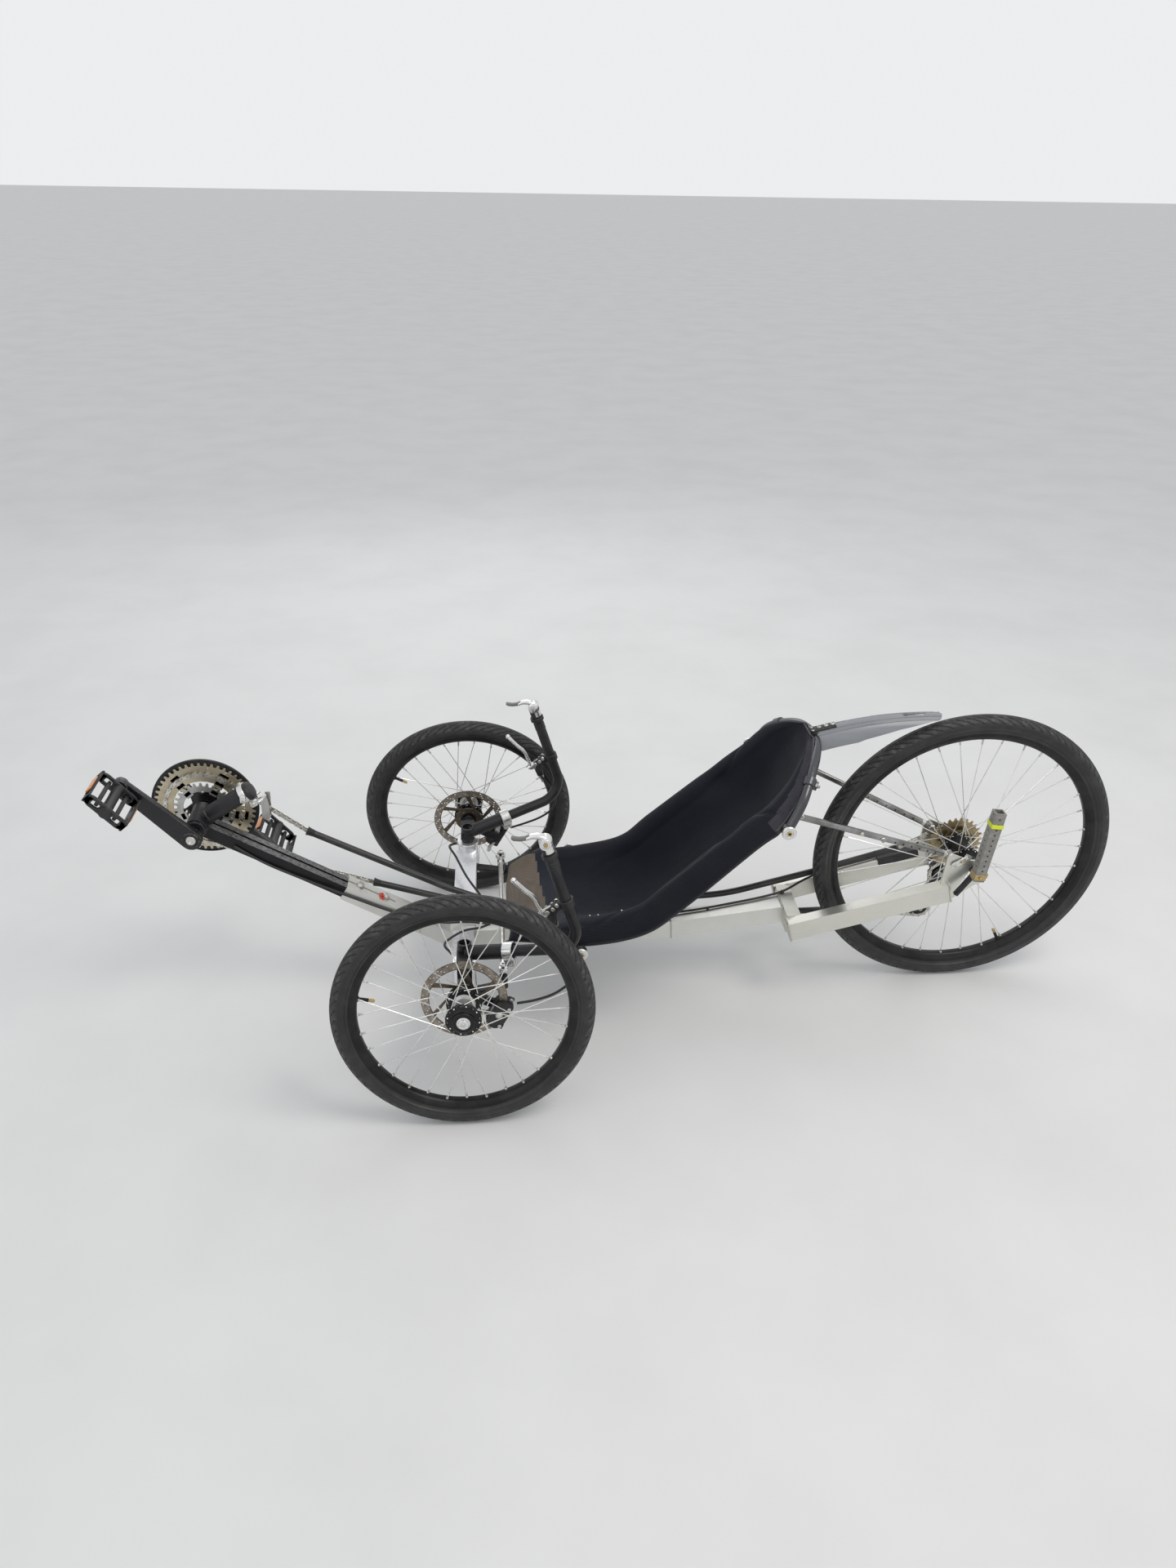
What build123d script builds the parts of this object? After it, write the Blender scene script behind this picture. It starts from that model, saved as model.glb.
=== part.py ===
from build123d import *
import os
from math import asin, atan2, cos, degrees, pi, radians, sin, tan

# A tadpole recumbent trike: two steered front wheels with disc brakes, a slung seat between
# them and a driven rear wheel. Millimetres, X forward, Y to the rider's left, Z up.
# The pieces are laid out from the front axle line, and move by AXLE_X at the end, so that
# the origin is at the middle of the trike's length, on the ground.
AXLE_X = 352.32

# Wheels: outer radius, tyre section radius, radius of the rim's outer and inner edge.
FRONT_R = 241.0
FRONT_TYRE = 19.0
TYRE_BANDS = 8
FRONT_RIM = 209.0
FRONT_RIM_IN = 192.0
REAR_R = 320.0
REAR_TYRE = 19.5
REAR_RIM = 286.0
REAR_RIM_IN = 267.0
FRONT_SPOKES = 32
REAR_SPOKES = 36
SPOKE = 2.0
CAMBER = 5.7
HUB_Y = 373.0
REAR_X = -1054.0
RIM_WIDTH = 27.0

# Front hub, along the axle from the rim's middle, outboard positive.
FLANGE_R = 33.0
FLANGE_OUT = 25.0
FLANGE_IN = -27.0
BARREL_R = 14.0
AXLE_END = 41.0
ROTOR_AT = -43.0
ROTOR_R = 80.0
CALLIPER_AT = 208.0

# Steering: the kingpins lean in at the top, and the arms point at the rear axle.
KINGPIN_Y = 225.0
KINGPIN_LEAN = 6.0
KINGPIN_Z = 213.0
HEAD_TUBE_R = 22.0
HEAD_TUBE_LENGTH = 62.0
ROD_X = -73.0
ROD_Y = 209.0
ROD_Z = 208.0
ROD_PIN = (0.034, -0.10467, 1.0)

# Main frame: rectangular tube, width and height, and its centre line in X and Z.
TUBE_W = 44.0
TUBE_H = 40.0
FRAME_NOSE = (250.0, 273.0)
FRAME_KINK = (36.0, 146.0)
FRAME_JOINT = (-435.0, 153.0)
FRAME_TAIL = (-690.0, 185.0)
NOSE_H = 34.0
STAY_Y = 72.0
STAY_W = 25.0
STAY_H = 42.0
STAY_END = (-1012.0, 268.0)
DROPOUT_T = 5.0
EYELET = (-1030.0, 336.0)
EYELET_R = 2.6
BOOM_W = 38.0
BOOM_H = 27.0
FENDER_R = 800.0
FENDER_T = 2.5

# Drive: crank axle, ring radii from the outside in, and the chain's line beside the middle.
BB = (520.0, 442.0)
BB_R = 21.0
BB_HALF = 36.0
CHAIN_Y = -48.0
GUARD_R = 106.0
RING_T = 2.4
SPIDER_Y = -58.0
ARMS = [72 * i + 20 for i in range(5)]
CRANK_LENGTH = 165.0
CRANK_ANGLE = 47.0
PEDAL_W = 90.0
PEDAL_L = 86.0

# Chainrings: teeth, Y, hole radius, bolt circle radius. Cassette: teeth and Y.
RINGS = ((48, -53.0, 80.0, 56.0), (38, -48.0, 61.0, 56.0), (28, -43.0, 43.0, 37.0))
CASSETTE = ((11, -61.2), (13, -56.8), (16, -52.4), (19, -48), (22, -43.6), (25, -39.2), (28, -34.8))

# Chain: pitch, half the gap between its side plates, plate thickness, half height at pin and waist.
PITCH = 12.7
GAP = 2.0
PLATE = 1.0
LINK = 4.0
WAIST = 2.9

# The chain's two guide tubes, in X and Z, and the radii that the chain runs round.
UPPER = ((322, 382), (40, 231), (-70, 183), (-230, 180), (-560, 194), (-760, 248), (-931, 300))
LOWER = ((196, 252), (57, 208), (-20, 184), (-90, 166), (-260, 156), (-560, 147), (-700, 142),
         (-830, 144))
RING = 76.9
SPROCKET = 38.6
JOCKEY = 20.0
JOCKEY_LOW = (-1008, 142)
JOCKEY_TOP = (-1036, 236)

# Handlebar, left side: socket start, corner and top end.
BAR_R = 11.1
SOCKET_R = 14.5
BAR_A = (0.0, 225.0, 262.0)
BAR_C = (-222.0, 296.0, 318.0)
BAR_F = (-153.0, 284.0, 540.0)

nodes = {}


def along(a, b, t):
    """The point t millimetres from a towards b."""
    a = Vector(*a)
    b = Vector(*b)
    return a + (b - a).normalized() * t


def rod(a, b, r):
    """A round bar from a to b."""
    a = Vector(*a)
    b = Vector(*b)
    d = b - a
    return extrude(Plane(origin=a, z_dir=d) * Circle(r), amount=d.length)


def pipe(a, b, r, hole):
    """A round tube from a to b."""
    a = Vector(*a)
    b = Vector(*b)
    d = b - a
    ring = Circle(r) - Circle(hole)
    return extrude(Plane(origin=a, z_dir=d) * ring, amount=d.length)


def beam(a, b, wide, high, side=(0, 1, 0)):
    """A rectangular bar from a to b, its width along side."""
    a = Vector(*a)
    b = Vector(*b)
    d = b - a
    across = Vector(*side)
    across = across - d.normalized() * across.dot(d.normalized())
    return extrude(Plane(origin=a, x_dir=across, z_dir=d) * Rectangle(wide, high), amount=d.length)


def cable_radii(points):
    """Each arc's radius from its two runs and its turn, as large as they allow."""
    radii = []
    for a, b, c in zip(points, points[1:], points[2:]):
        before = Vector(*b) - Vector(*a)
        after = Vector(*c) - Vector(*b)
        half = radians(before.get_angle(after)) / 2
        radii.append(0.45 * min(before.length, after.length) / tan(half))
    return radii


def tube_path(points, radii, r):
    """A round bar along straight runs joined by tangent arcs."""
    path = FilletPolyline(*points, radius=radii)
    start = Plane(origin=path @ 0, z_dir=path % 0)
    return sweep(start * Circle(r), path=path)


def cable(name, points, r):
    """A cable whose arcs follow its runs; the radii and length are printed."""
    radii = cable_radii(points)
    path = FilletPolyline(*points, radius=radii)
    body = sweep(Plane(origin=path @ 0, z_dir=path % 0) * Circle(r), path=path)
    share = body.volume / (pi * r * r * path.length)
    print(name, "length", round(path.length), "least radius", round(min(radii), 1))
    print(name, "volume share", round(share, 3))
    return body


def lathe(profile):
    """A solid of revolution about Z from points of radius and height."""
    return revolve(Plane.XZ * make_face(Polyline(*profile, close=True)), axis=Axis.Z)


def tyre(outer, section, rim):
    """A tyre about Z: its round section in flat bands, from one bead over the tread to the other."""
    mid = outer - section
    drop = asin((rim - mid) / section)
    first = pi - drop
    points = []
    for i in range(TYRE_BANDS + 1):
        a = first + (2 * drop - pi) * i / TYRE_BANDS
        points.append((mid + section * sin(a), section * cos(a)))
    return lathe(points)


def toothed(teeth, thick):
    """A toothed disc about Z for a chain of PITCH."""
    mid = PITCH / 2 / sin(pi / teeth)
    points = []
    for i in range(teeth):
        for shift, grow in ((-0.34, -3.9), (-0.13, 2.6), (0.13, 2.6), (0.34, -3.9)):
            a = 2 * pi * (i + shift) / teeth
            points.append(((mid + grow) * cos(a), (mid + grow) * sin(a)))
    return extrude(make_face(Polyline(*points, close=True)), amount=thick / 2, both=True)


def rim(outer, inner):
    """A box rim about Z, narrower at the spokes."""
    w = RIM_WIDTH / 2
    return lathe(((outer, -w), (outer, w), (outer - 9, w), (inner, 8), (inner, -8), (outer - 9, -w)))


def spokes(count, hub_r, rim_r, near, far):
    """Tangential spokes about Z, half from each flange, laced three cross."""
    made = []
    turn = 3 * 360 / (count / 2)
    for i in range(count):
        height = near if i % 2 else far
        sense = 1 if (i // 2) % 2 else -1
        at_rim = radians(360 * i / count)
        at_hub = at_rim + sense * radians(turn)
        a = (hub_r * cos(at_hub), hub_r * sin(at_hub), height)
        b = (rim_r * cos(at_rim), rim_r * sin(at_rim), 2.5 if i % 2 else -2.5)
        made.append(beam(a, b, SPOKE, SPOKE, side=(0, 0, 1)))
    return made


def front_hub():
    """The front hub about Z, outboard up, with the rotor's seat below."""
    return lathe((
        (0, AXLE_END), (6, AXLE_END), (6, 36), (13, 36), (13, 30), (FLANGE_R, FLANGE_OUT + 2),
        (FLANGE_R, FLANGE_OUT - 2), (BARREL_R, FLANGE_OUT - 6), (BARREL_R, FLANGE_IN + 6),
        (FLANGE_R, FLANGE_IN + 2), (FLANGE_R, FLANGE_IN - 2), (22, FLANGE_IN - 4),
        (22, ROTOR_AT + 1), (0, ROTOR_AT + 1)))


def rear_hub():
    """The rear hub about Z, its left side up, with the cassette's body below."""
    return lathe((
        (8, 62), (13, 58), (13, 50), (27, 36), (27, 32), (17, 26), (17, -16),
        (27, -22), (27, -26), (17, -30), (17, -62), (8, -62)))


def rotor():
    """A brake rotor about Z: a ring with slots, on six swept arms."""
    ring = Circle(ROTOR_R) - Circle(ROTOR_R - 16)
    centre = Circle(25) - Circle(8)
    face = ring + centre
    for i in range(6):
        a = radians(60 * i)
        b = radians(60 * i + 38)
        arm = Line((23 * cos(a), 23 * sin(a)), ((ROTOR_R - 14) * cos(b), (ROTOR_R - 14) * sin(b)))
        turn = Rot(0, 0, degrees(atan2((arm % 0).Y, (arm % 0).X)))
        face += Plane(arm @ 0.5) * turn * Rectangle(arm.length + 4, 8)
    for i in range(18):
        a = radians(20 * i)
        slot = Rot(0, 0, 20 * i + 55) * Rectangle(9, 3)
        face -= Pos((ROTOR_R - 8) * cos(a), (ROTOR_R - 8) * sin(a)) * slot
    return extrude(face, amount=1, both=True)


def wheel_place(centre, outboard):
    """A plane at a wheel's middle with Z along its axle."""
    return Plane(origin=centre, x_dir=(1, 0, 0), z_dir=outboard)


LEAN = radians(CAMBER)
HUB_Z = (FRONT_R - FRONT_TYRE) * cos(LEAN) + FRONT_TYRE
AXLE_L = Vector(0, cos(LEAN), sin(LEAN))
HUB_L = Vector(0, HUB_Y, HUB_Z)
LEFT = wheel_place(HUB_L, AXLE_L)
REAR = wheel_place((REAR_X, 0, REAR_R), (0, 1, 0))


def both(name, solid):
    """Keep a piece for the left side and its mirror image for the right."""
    nodes[name + "_left"] = solid
    nodes[name + "_right"] = mirror(solid, about=Plane.XZ)


def front_wheels():
    hub = front_hub()
    body = rim(FRONT_RIM, FRONT_RIM_IN) + hub
    body += spokes(FRONT_SPOKES, FLANGE_R - 4, FRONT_RIM_IN + 3, FLANGE_OUT, FLANGE_IN)
    both("front_wheel", LEFT * body)
    both("front_tyre", LEFT * tyre(FRONT_R, FRONT_TYRE, FRONT_RIM))
    both("brake_rotor", LEFT * Pos(0, 0, ROTOR_AT) * rotor())


def rear_wheel():
    body = rim(REAR_RIM, REAR_RIM_IN) + (rear_hub() - Cylinder(8, 140))
    body += spokes(REAR_SPOKES, 24, REAR_RIM_IN + 3, 34, -24)
    nodes["rear_wheel"] = REAR * body
    nodes["rear_tyre"] = REAR * tyre(REAR_R, REAR_TYRE, REAR_RIM)
    stack = [Pos(0, 0, y) * toothed(teeth, 1.8) for teeth, y in CASSETTE]
    stack.append(Pos(0, 0, -48) * Cylinder(18.5, 28.2))
    cassette = Part() + stack
    nodes["cassette"] = REAR * (cassette - Cylinder(17, 140))


def main_frame():
    """The slotted nose, the level run under the seat and the rising tail, welded in one."""
    nose = (FRAME_NOSE[0], 0, FRAME_NOSE[1])
    kink = (FRAME_KINK[0], 0, FRAME_KINK[1])
    joint = (FRAME_JOINT[0], 0, FRAME_JOINT[1])
    tail = (FRAME_TAIL[0] + 15, 0, FRAME_TAIL[1] - 2)
    body = beam(nose, along(kink, nose, -8), TUBE_W, NOSE_H)
    body += beam(along(kink, joint, -8), joint, TUBE_W, TUBE_H)
    body += beam(along(joint, tail, -3), tail, TUBE_W, TUBE_H)
    bore = beam(along(nose, kink, -5), along(nose, kink, 150), BOOM_W, BOOM_H)
    slope = Vector(*kink) - Vector(*nose)
    top = Vector(slope.Z, 0, -slope.X).normalized()
    if top.Z < 0:
        top = top * -1
    bolts = []
    for t in (26, 84):
        foot = along(nose, kink, t) + top * (NOSE_H / 2 - 1)
        bolts.append(extrude(Plane(origin=foot, z_dir=top) * Circle(6.5), amount=6))
    cut = along(nose, kink, 50) + top * NOSE_H / 2
    slit = Plane(origin=cut, x_dir=(0, 1, 0), z_dir=top) * Box(3, 116, 16)
    nodes["main_frame"] = (body - bore - slit) + bolts


def cross_arms():
    """The arms rise from the frame's sides to the head tubes of the kingpins."""
    lean = radians(KINGPIN_LEAN)
    up = Vector(0, -sin(lean), cos(lean))
    middle = Vector(0, KINGPIN_Y, KINGPIN_Z)
    arm = beam((9, TUBE_W / 2, 148), (4, KINGPIN_Y - 8, 205), 46, 38, side=(1, 0, 0))
    outer = rod(middle - up * HEAD_TUBE_LENGTH / 2, middle + up * HEAD_TUBE_LENGTH / 2, HEAD_TUBE_R)
    hole = rod(middle - up * 60, middle + up * 60, 13)
    foot = Pos(9, 0, 148) * Box(80, TUBE_W, 80)
    both("cross_arm", arm + outer - hole - foot)


def stays():
    """The yoke behind the frame and a stay with its dropout on each side of the wheel."""
    tail = (FRAME_TAIL[0], 0, FRAME_TAIL[1])
    yoke = Pos(tail[0], 0, tail[2]) * Box(30, 2 * STAY_Y - STAY_W, STAY_H)
    nodes["rear_yoke"] = yoke - nodes["main_frame"]
    start = (FRAME_TAIL[0] + 15, STAY_Y, FRAME_TAIL[1] - 6)
    end = (STAY_END[0], STAY_Y, STAY_END[1])
    body = beam(start, end, STAY_W, STAY_H)
    plate = Polyline(
        (STAY_END[0] + 20, STAY_END[1] - 10), (STAY_END[0] - 8, STAY_END[1] - 20),
        (REAR_X - 10, REAR_R - 38), (REAR_X - 24, REAR_R - 34),
        (REAR_X - 18, REAR_R + 6), (REAR_X - 6, REAR_R + 20),
        (REAR_X + 14, REAR_R + 22), (STAY_END[0] + 8, REAR_R + 38),
        (STAY_END[0] + 18, REAR_R + 30), (STAY_END[0] + 22, STAY_END[1] + 24), close=True)
    side = Plane(origin=(0, STAY_Y, 0), x_dir=(1, 0, 0), z_dir=(0, -1, 0))
    dropout = extrude(side * make_face(plate), amount=DROPOUT_T / 2, both=True)
    slot = rod((REAR_X, 40, REAR_R), (REAR_X, 110, REAR_R), 5)
    mouth = Pos(REAR_X + 12, STAY_Y, REAR_R - 24) * Rot(0, -26, 0) * Box(10, 40, 52)
    eyelet = rod((EYELET[0], 40, EYELET[1]), (EYELET[0], 110, EYELET[1]), EYELET_R)
    both("chainstay", body + dropout - slot - mouth - eyelet)
    left = rod((REAR_X, STAY_Y + DROPOUT_T / 2, REAR_R), (REAR_X, STAY_Y + 16, REAR_R), 9)
    right = rod((REAR_X, -STAY_Y - DROPOUT_T / 2, REAR_R), (REAR_X, -STAY_Y - 10, REAR_R), 9)
    lever = beam((REAR_X, STAY_Y + 14, REAR_R), (REAR_X + 40, STAY_Y + 26, REAR_R - 46), 12, 6)
    bar = rod((REAR_X, -STAY_Y - 8, REAR_R), (REAR_X, STAY_Y + 12, REAR_R), 4.5)
    nodes["rear_axle"] = bar + left + right + lever


def boom():
    """The slotted boom in the frame's nose, and the crank shell with the derailleur's post."""
    nose = Vector(FRAME_NOSE[0], 0, FRAME_NOSE[1])
    slope = Vector(FRAME_NOSE[0] - FRAME_KINK[0], 0, FRAME_NOSE[1] - FRAME_KINK[1]).normalized()
    inner = nose - slope * 140
    reach = (Vector(BB[0], 0, BB[1]) - nose).dot(slope)
    front = nose + slope * (reach - 3)
    up = Vector(-slope.Z, 0, slope.X)
    bar = beam(inner, front, BOOM_W, BOOM_H)
    groove = beam(inner + up * BOOM_H / 2 - slope * 5, front + up * BOOM_H / 2 + slope * 30, 8, 8)
    shell = rod((BB[0], -BB_HALF, BB[1]), (BB[0], BB_HALF, BB[1]), BB_R)
    post = rod((BB[0] - 8, 0, BB[1] + 5), (BB[0] - 108, 0, BB[1] + 66), 17)
    cup_l = rod((BB[0], BB_HALF, BB[1]), (BB[0], BB_HALF + 6, BB[1]), 17)
    cup_r = rod((BB[0], -BB_HALF - 2, BB[1]), (BB[0], -BB_HALF, BB[1]), 17)
    bore = rod((BB[0], -60, BB[1]), (BB[0], 60, BB[1]), 9)
    bracket = shell + post + cup_l + cup_r - bore
    nodes["bottom_bracket"] = bracket
    nodes["boom"] = bar - groove - shell - post


def pedal(side):
    """A caged pedal with toothed edges about its spindle, side 1 for the left."""
    body = Box(PEDAL_L, PEDAL_W, 24) - Box(PEDAL_L - 16, PEDAL_W - 16, 40)
    body -= [Pos(x, 0, z) * Box(22, PEDAL_W - 24, 8) for x in (-33, 33) for z in (-12, 12)]
    for x in (-PEDAL_L / 2 + 4, PEDAL_L / 2 - 4):
        for z in (-9, 9):
            for y in range(-28, 29, 14):
                body += Pos(x, y, z) * Box(8, 6, 6)
    body += rod((0, -PEDAL_W / 2, 0), (0, PEDAL_W / 2, 0), 11)
    for x in (-22, 22):
        body += Pos(x, 0, 0) * Box(8, PEDAL_W, 14)
    hole = rod((0, -PEDAL_W / 2 - 1, 0), (0, PEDAL_W / 2 - 12, 0), 6.5)
    body -= hole if side > 0 else mirror(hole, about=Plane.XZ)
    return body


def crank(side):
    """A tapered crank on its axle half, with the pedal's spindle, side 1 for the left."""
    a = radians(CRANK_ANGLE)
    reach = Vector(cos(a), 0, sin(a)) * CRANK_LENGTH * side
    hub = Vector(BB[0], side * 74, BB[1])
    end = hub + reach
    across = Vector(-sin(a), 0, cos(a))
    outline = Polyline(hub + across * 17, end + across * 11, end - across * 11, hub - across * 17,
                       close=True)
    body = extrude(make_face(outline), amount=7, dir=(0, 1, 0), both=True)
    body += rod(hub - Vector(0, 8, 0), hub + Vector(0, 8, 0), 19)
    body += rod(end - Vector(0, 8, 0), end + Vector(0, 8, 0), 14)
    axle_in = 0 if side > 0 else 0.5
    body += rod((BB[0], side * axle_in, BB[1]), (BB[0], side * 70, BB[1]), 8.5)
    body += rod(end, end + Vector(0, side * (8 + 4 + PEDAL_W - 14), 0), 6)
    return body, end + Vector(0, side * (8 + 4 + PEDAL_W / 2), 0)


def spider():
    """Five arms and a boss on the right crank, drawn about the crank axle."""
    star = Circle(26)
    for angle in ARMS:
        star += Rot(0, 0, angle) * Pos(34, 0) * Rectangle(60, 15)
    arms = extrude(star, amount=-5)
    return Pos(0, 0, SPIDER_Y) * (arms + Pos(0, 0, -6) * Cylinder(24, 8))


def chainrings():
    """Three toothed rings drawn about the crank axle, on tabs that five bolts each hold."""
    stack = []
    for teeth, y, hole, circle in RINGS:
        ring = toothed(teeth, RING_T) - Cylinder(hole, 5)
        long = hole - circle + 9
        for angle in ARMS:
            tab = Pos(circle - 7 + long / 2, 0, 0) * Box(long, 14, RING_T)
            ring += Rot(0, 0, angle) * (tab + Pos(circle - 7, 0, 0) * Cylinder(7, RING_T))
        stack.append(Pos(0, 0, y) * ring)
    for circle, inner in ((RINGS[0][3], -45.4), (RINGS[2][3], -41)):
        for angle in ARMS:
            bolt = Pos(circle - 4, 0, (SPIDER_Y + inner) / 2) * Cylinder(4.5, inner - SPIDER_Y)
            stack.append(Rot(0, 0, angle) * bolt)
    return Part() + stack


def chain_guard():
    """A flat ring outside the largest chainring, on five posts."""
    ring = Pos(0, 0, SPIDER_Y) * (Cylinder(GUARD_R, 3) - Cylinder(GUARD_R - 16, 5))
    face = RINGS[0][1] - RING_T / 2
    for angle in ARMS:
        ring += Rot(0, 0, angle) * Pos(93, 0, (SPIDER_Y + face) / 2) * Cylinder(4, face - SPIDER_Y)
    return ring


def cranks():
    """Cranks, rings and guard on the crank axle, and a pedal on each crank's end."""
    centre = Plane(origin=(BB[0], 0, BB[1]), x_dir=(1, 0, 0), z_dir=(0, 1, 0))
    for side, name in ((1, "left"), (-1, "right")):
        body, middle = crank(side)
        if side < 0:
            body += centre * spider()
        nodes["crank_" + name] = body
        tilt = Rot(0, -50, 0)
        nodes["pedal_" + name] = Pos(*middle) * tilt * pedal(side)
        lamps = [Pos(x, 0, 0) * Box(5, 46, 14) for x in (-PEDAL_L / 2 - 2.5, PEDAL_L / 2 + 2.5)]
        nodes["pedal_reflectors_" + name] = Pos(*middle) * tilt * Part(children=lamps)
    nodes["chainrings"] = centre * chainrings()
    nodes["chain_guard"] = centre * chain_guard()


def knuckle():
    """Kingpin, yoke lugs, stub axle, steering arm and the calliper's lug, left side."""
    lean = radians(KINGPIN_LEAN)
    up = Vector(0, -sin(lean), cos(lean))
    middle = Vector(0, KINGPIN_Y, KINGPIN_Z)
    half = HEAD_TUBE_LENGTH / 2
    foot = middle - up * (half + 14)
    top = middle + up * (half + 26)
    body = rod(foot, top, 12.5)
    side = Vector(0, cos(lean), sin(lean))
    for height in (half + 16, -half - 7):
        lug = middle + up * height
        body += beam(lug - side * 14, lug + side * 44, 30, 10, side=(1, 0, 0))
    outer = middle + side * 40
    body += beam(outer - up * (half + 12), outer + up * (half + 21), 28, 14, side=(1, 0, 0))
    inboard = HUB_L + AXLE_L * (ROTOR_AT - 8)
    root = HUB_L + AXLE_L * -112
    body += rod(root, inboard, 14)
    body += rod(inboard, HUB_L + AXLE_L * (ROTOR_AT + 0.5), 8)
    a = radians(CALLIPER_AT)
    back = Vector(cos(a), 0, sin(a))
    bracket = HUB_L + AXLE_L * (ROTOR_AT - 23)
    body += beam(bracket, bracket + back * 84, 18, 8, side=(-sin(a), 0, cos(a)))
    arm_z = KINGPIN_Z - half - 12
    body += beam((0, KINGPIN_Y + 3, arm_z), (ROD_X, ROD_Y, arm_z), 18, 7)
    eye = Vector(ROD_X, ROD_Y, ROD_Z)
    pin = Vector(*ROD_PIN).normalized()
    body += rod(eye - pin * (ROD_Z - arm_z + 3), eye - pin * 14, 8)
    body += rod(eye - pin * 14, eye + pin * 9, 3)
    return body


def blade_face(y):
    """The brake lever's kinked blade in the plane at y, as offsets from its measured bends."""
    # columns: X, Z, half the blade's height there, and the edge's direction in degrees
    table = ((-168, 409, 8, -28), (-146, 394, 7, 10), (-135, 424, 5, 62), (-112, 452, 4.5, 48),
             (-92, 471, 4, 42))
    upper = []
    lower = []
    for x, z, half, heading in table:
        n = (-sin(radians(heading)) * half, cos(radians(heading)) * half)
        upper.append((x + n[0], z + n[1]))
        lower.append((x - n[0], z - n[1]))
    side = Plane(origin=(0, y, 0), x_dir=(1, 0, 0), z_dir=(0, -1, 0))
    return side * make_face(Polyline(*upper, *reversed(lower), close=True))


def steering():
    both("knuckle", knuckle())
    start = along(BAR_A, BAR_C, 12)
    end = along(BAR_A, BAR_C, 84)
    socket = pipe(start, end, SOCKET_R, BAR_R)
    both("bar_socket", socket - knuckle())
    clamp = pipe(along(BAR_A, BAR_C, 84), along(BAR_A, BAR_C, 104), 18, BAR_R)
    both("bar_clamp", clamp)
    inner = along(BAR_A, BAR_C, 40)
    bar = tube_path((inner, Vector(*BAR_C), Vector(*BAR_F)), 45, BAR_R)
    both("handlebar", bar)
    perch = along(BAR_C, BAR_F, 104)
    axis = (Vector(*BAR_F) - Vector(*BAR_C)).normalized()
    ring = pipe(perch - axis * 7, perch + axis * 7, 15, BAR_R)
    perch_block = beam(perch + Vector(11, 0, 0), perch + Vector(36, 0, -12), 14, 18)
    barrel = rod(perch + Vector(24, 0, -14), perch + Vector(16, 4, -38), 5)
    blade = extrude(blade_face(perch.Y), amount=4.5, both=True)
    both("brake_lever", ring + perch_block + barrel + blade - bar)
    pod = Vector(*BAR_F)
    shifter = rod(pod + Vector(0, -10, 4), pod + Vector(0, 14, 4), 12)
    shifter += rod(pod + Vector(0, 14, 4), pod + Vector(0, 17, 4), 10)
    shifter -= rod(BAR_C, BAR_F, BAR_R)
    shifter += beam(pod + Vector(4, 2, 8), pod + Vector(40, 2, 13), 9, 8)
    shifter += beam(pod + Vector(34, 2, 12), pod + Vector(58, 2, 8), 14, 6)
    both("shifter", shifter)


def calliper():
    """The brake calliper round the rotor's rear edge, with its arm and cable stop."""
    a = radians(CALLIPER_AT)
    place = LEFT * Pos((ROTOR_R - 8) * cos(a), -(ROTOR_R - 8) * sin(a), ROTOR_AT)
    block = fillet(Box(34, 52, 28).edges().filter_by(Axis.Z), 8)
    block = Pos(0, 0, -5) * block - Pos(-6, 0, 0) * Box(34, 60, 5)
    block += Pos(2, 0, -21) * Cylinder(12, 8)
    block += Pos(10, 12, -23) * Rot(0, 0, 35) * Box(40, 9, 3)
    block += Pos(2, -24, -19) * Rot(90, 0, 0) * Cylinder(4, 16)
    both("brake_calliper", place * Rot(0, 0, -CALLIPER_AT) * block - knuckle())


def tie_rod():
    """The rod between the steering arms, an eye at each end."""
    body = rod((ROD_X, -ROD_Y + 12, ROD_Z), (ROD_X, ROD_Y - 12, ROD_Z), 5)
    for s, hole in ((1, 3.3), (-1, 8)):
        eye = Vector(ROD_X, s * ROD_Y, ROD_Z)
        pin = Vector(ROD_PIN[0], s * ROD_PIN[1], ROD_PIN[2]).normalized()
        body += rod(eye - pin * 5, eye + pin * 5, 10 if s > 0 else 11.5)
        body += beam((ROD_X, s * (ROD_Y - 32), ROD_Z), (ROD_X, s * (ROD_Y - 8), ROD_Z), 11, 9, (1, 0, 0))
        body -= rod(eye - pin * 20, eye + pin * 20, hole)
    nodes["tie_rod"] = body


def seat():
    """The slung cover between two rails: sections across it, from the front lip to the top."""
    # columns: X, Z, half width, sag, roll radius, lean of the section from upright in degrees
    table = (
        (-96, 232, 138, 12, 9, -12),
        (-150, 246, 158, 18, 12, -4),
        (-240, 246, 167, 22, 14, 3),
        (-345, 266, 167, 46, 14, 24),
        (-420, 322, 166, 55, 14, 40),
        (-560, 452, 160, 48, 14, 44),
        (-625, 520, 142, 36, 13, 48),
        (-662, 582, 104, 22, 11, 56),
        (-686, 638, 40, 6, 8, 62),
    )
    faces = []
    for x, z, half, sag, roll, lean in table:
        a = radians(lean)
        up = Vector(sin(a), 0, cos(a))
        ahead = Vector(cos(a), 0, -sin(a))
        plane = Plane(origin=(x, 0, z), x_dir=(0, 1, 0), z_dir=ahead)
        s = 1 if plane.y_dir.dot(up) > 0 else -1
        top = ThreePointArc((-half, s * roll), (0, s * (6 - sag)), (half, s * roll))
        right = ThreePointArc((half, s * roll), (half + roll, 0), (half, -s * roll))
        low = ThreePointArc((half, -s * roll), (0, s * (-6 - sag)), (-half, -s * roll))
        left = ThreePointArc((-half, -s * roll), (-half - roll, 0), (-half, s * roll))
        faces.append(plane * make_face(top + right + low + left))
    nodes["seat_cover"] = loft(faces)


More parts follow.
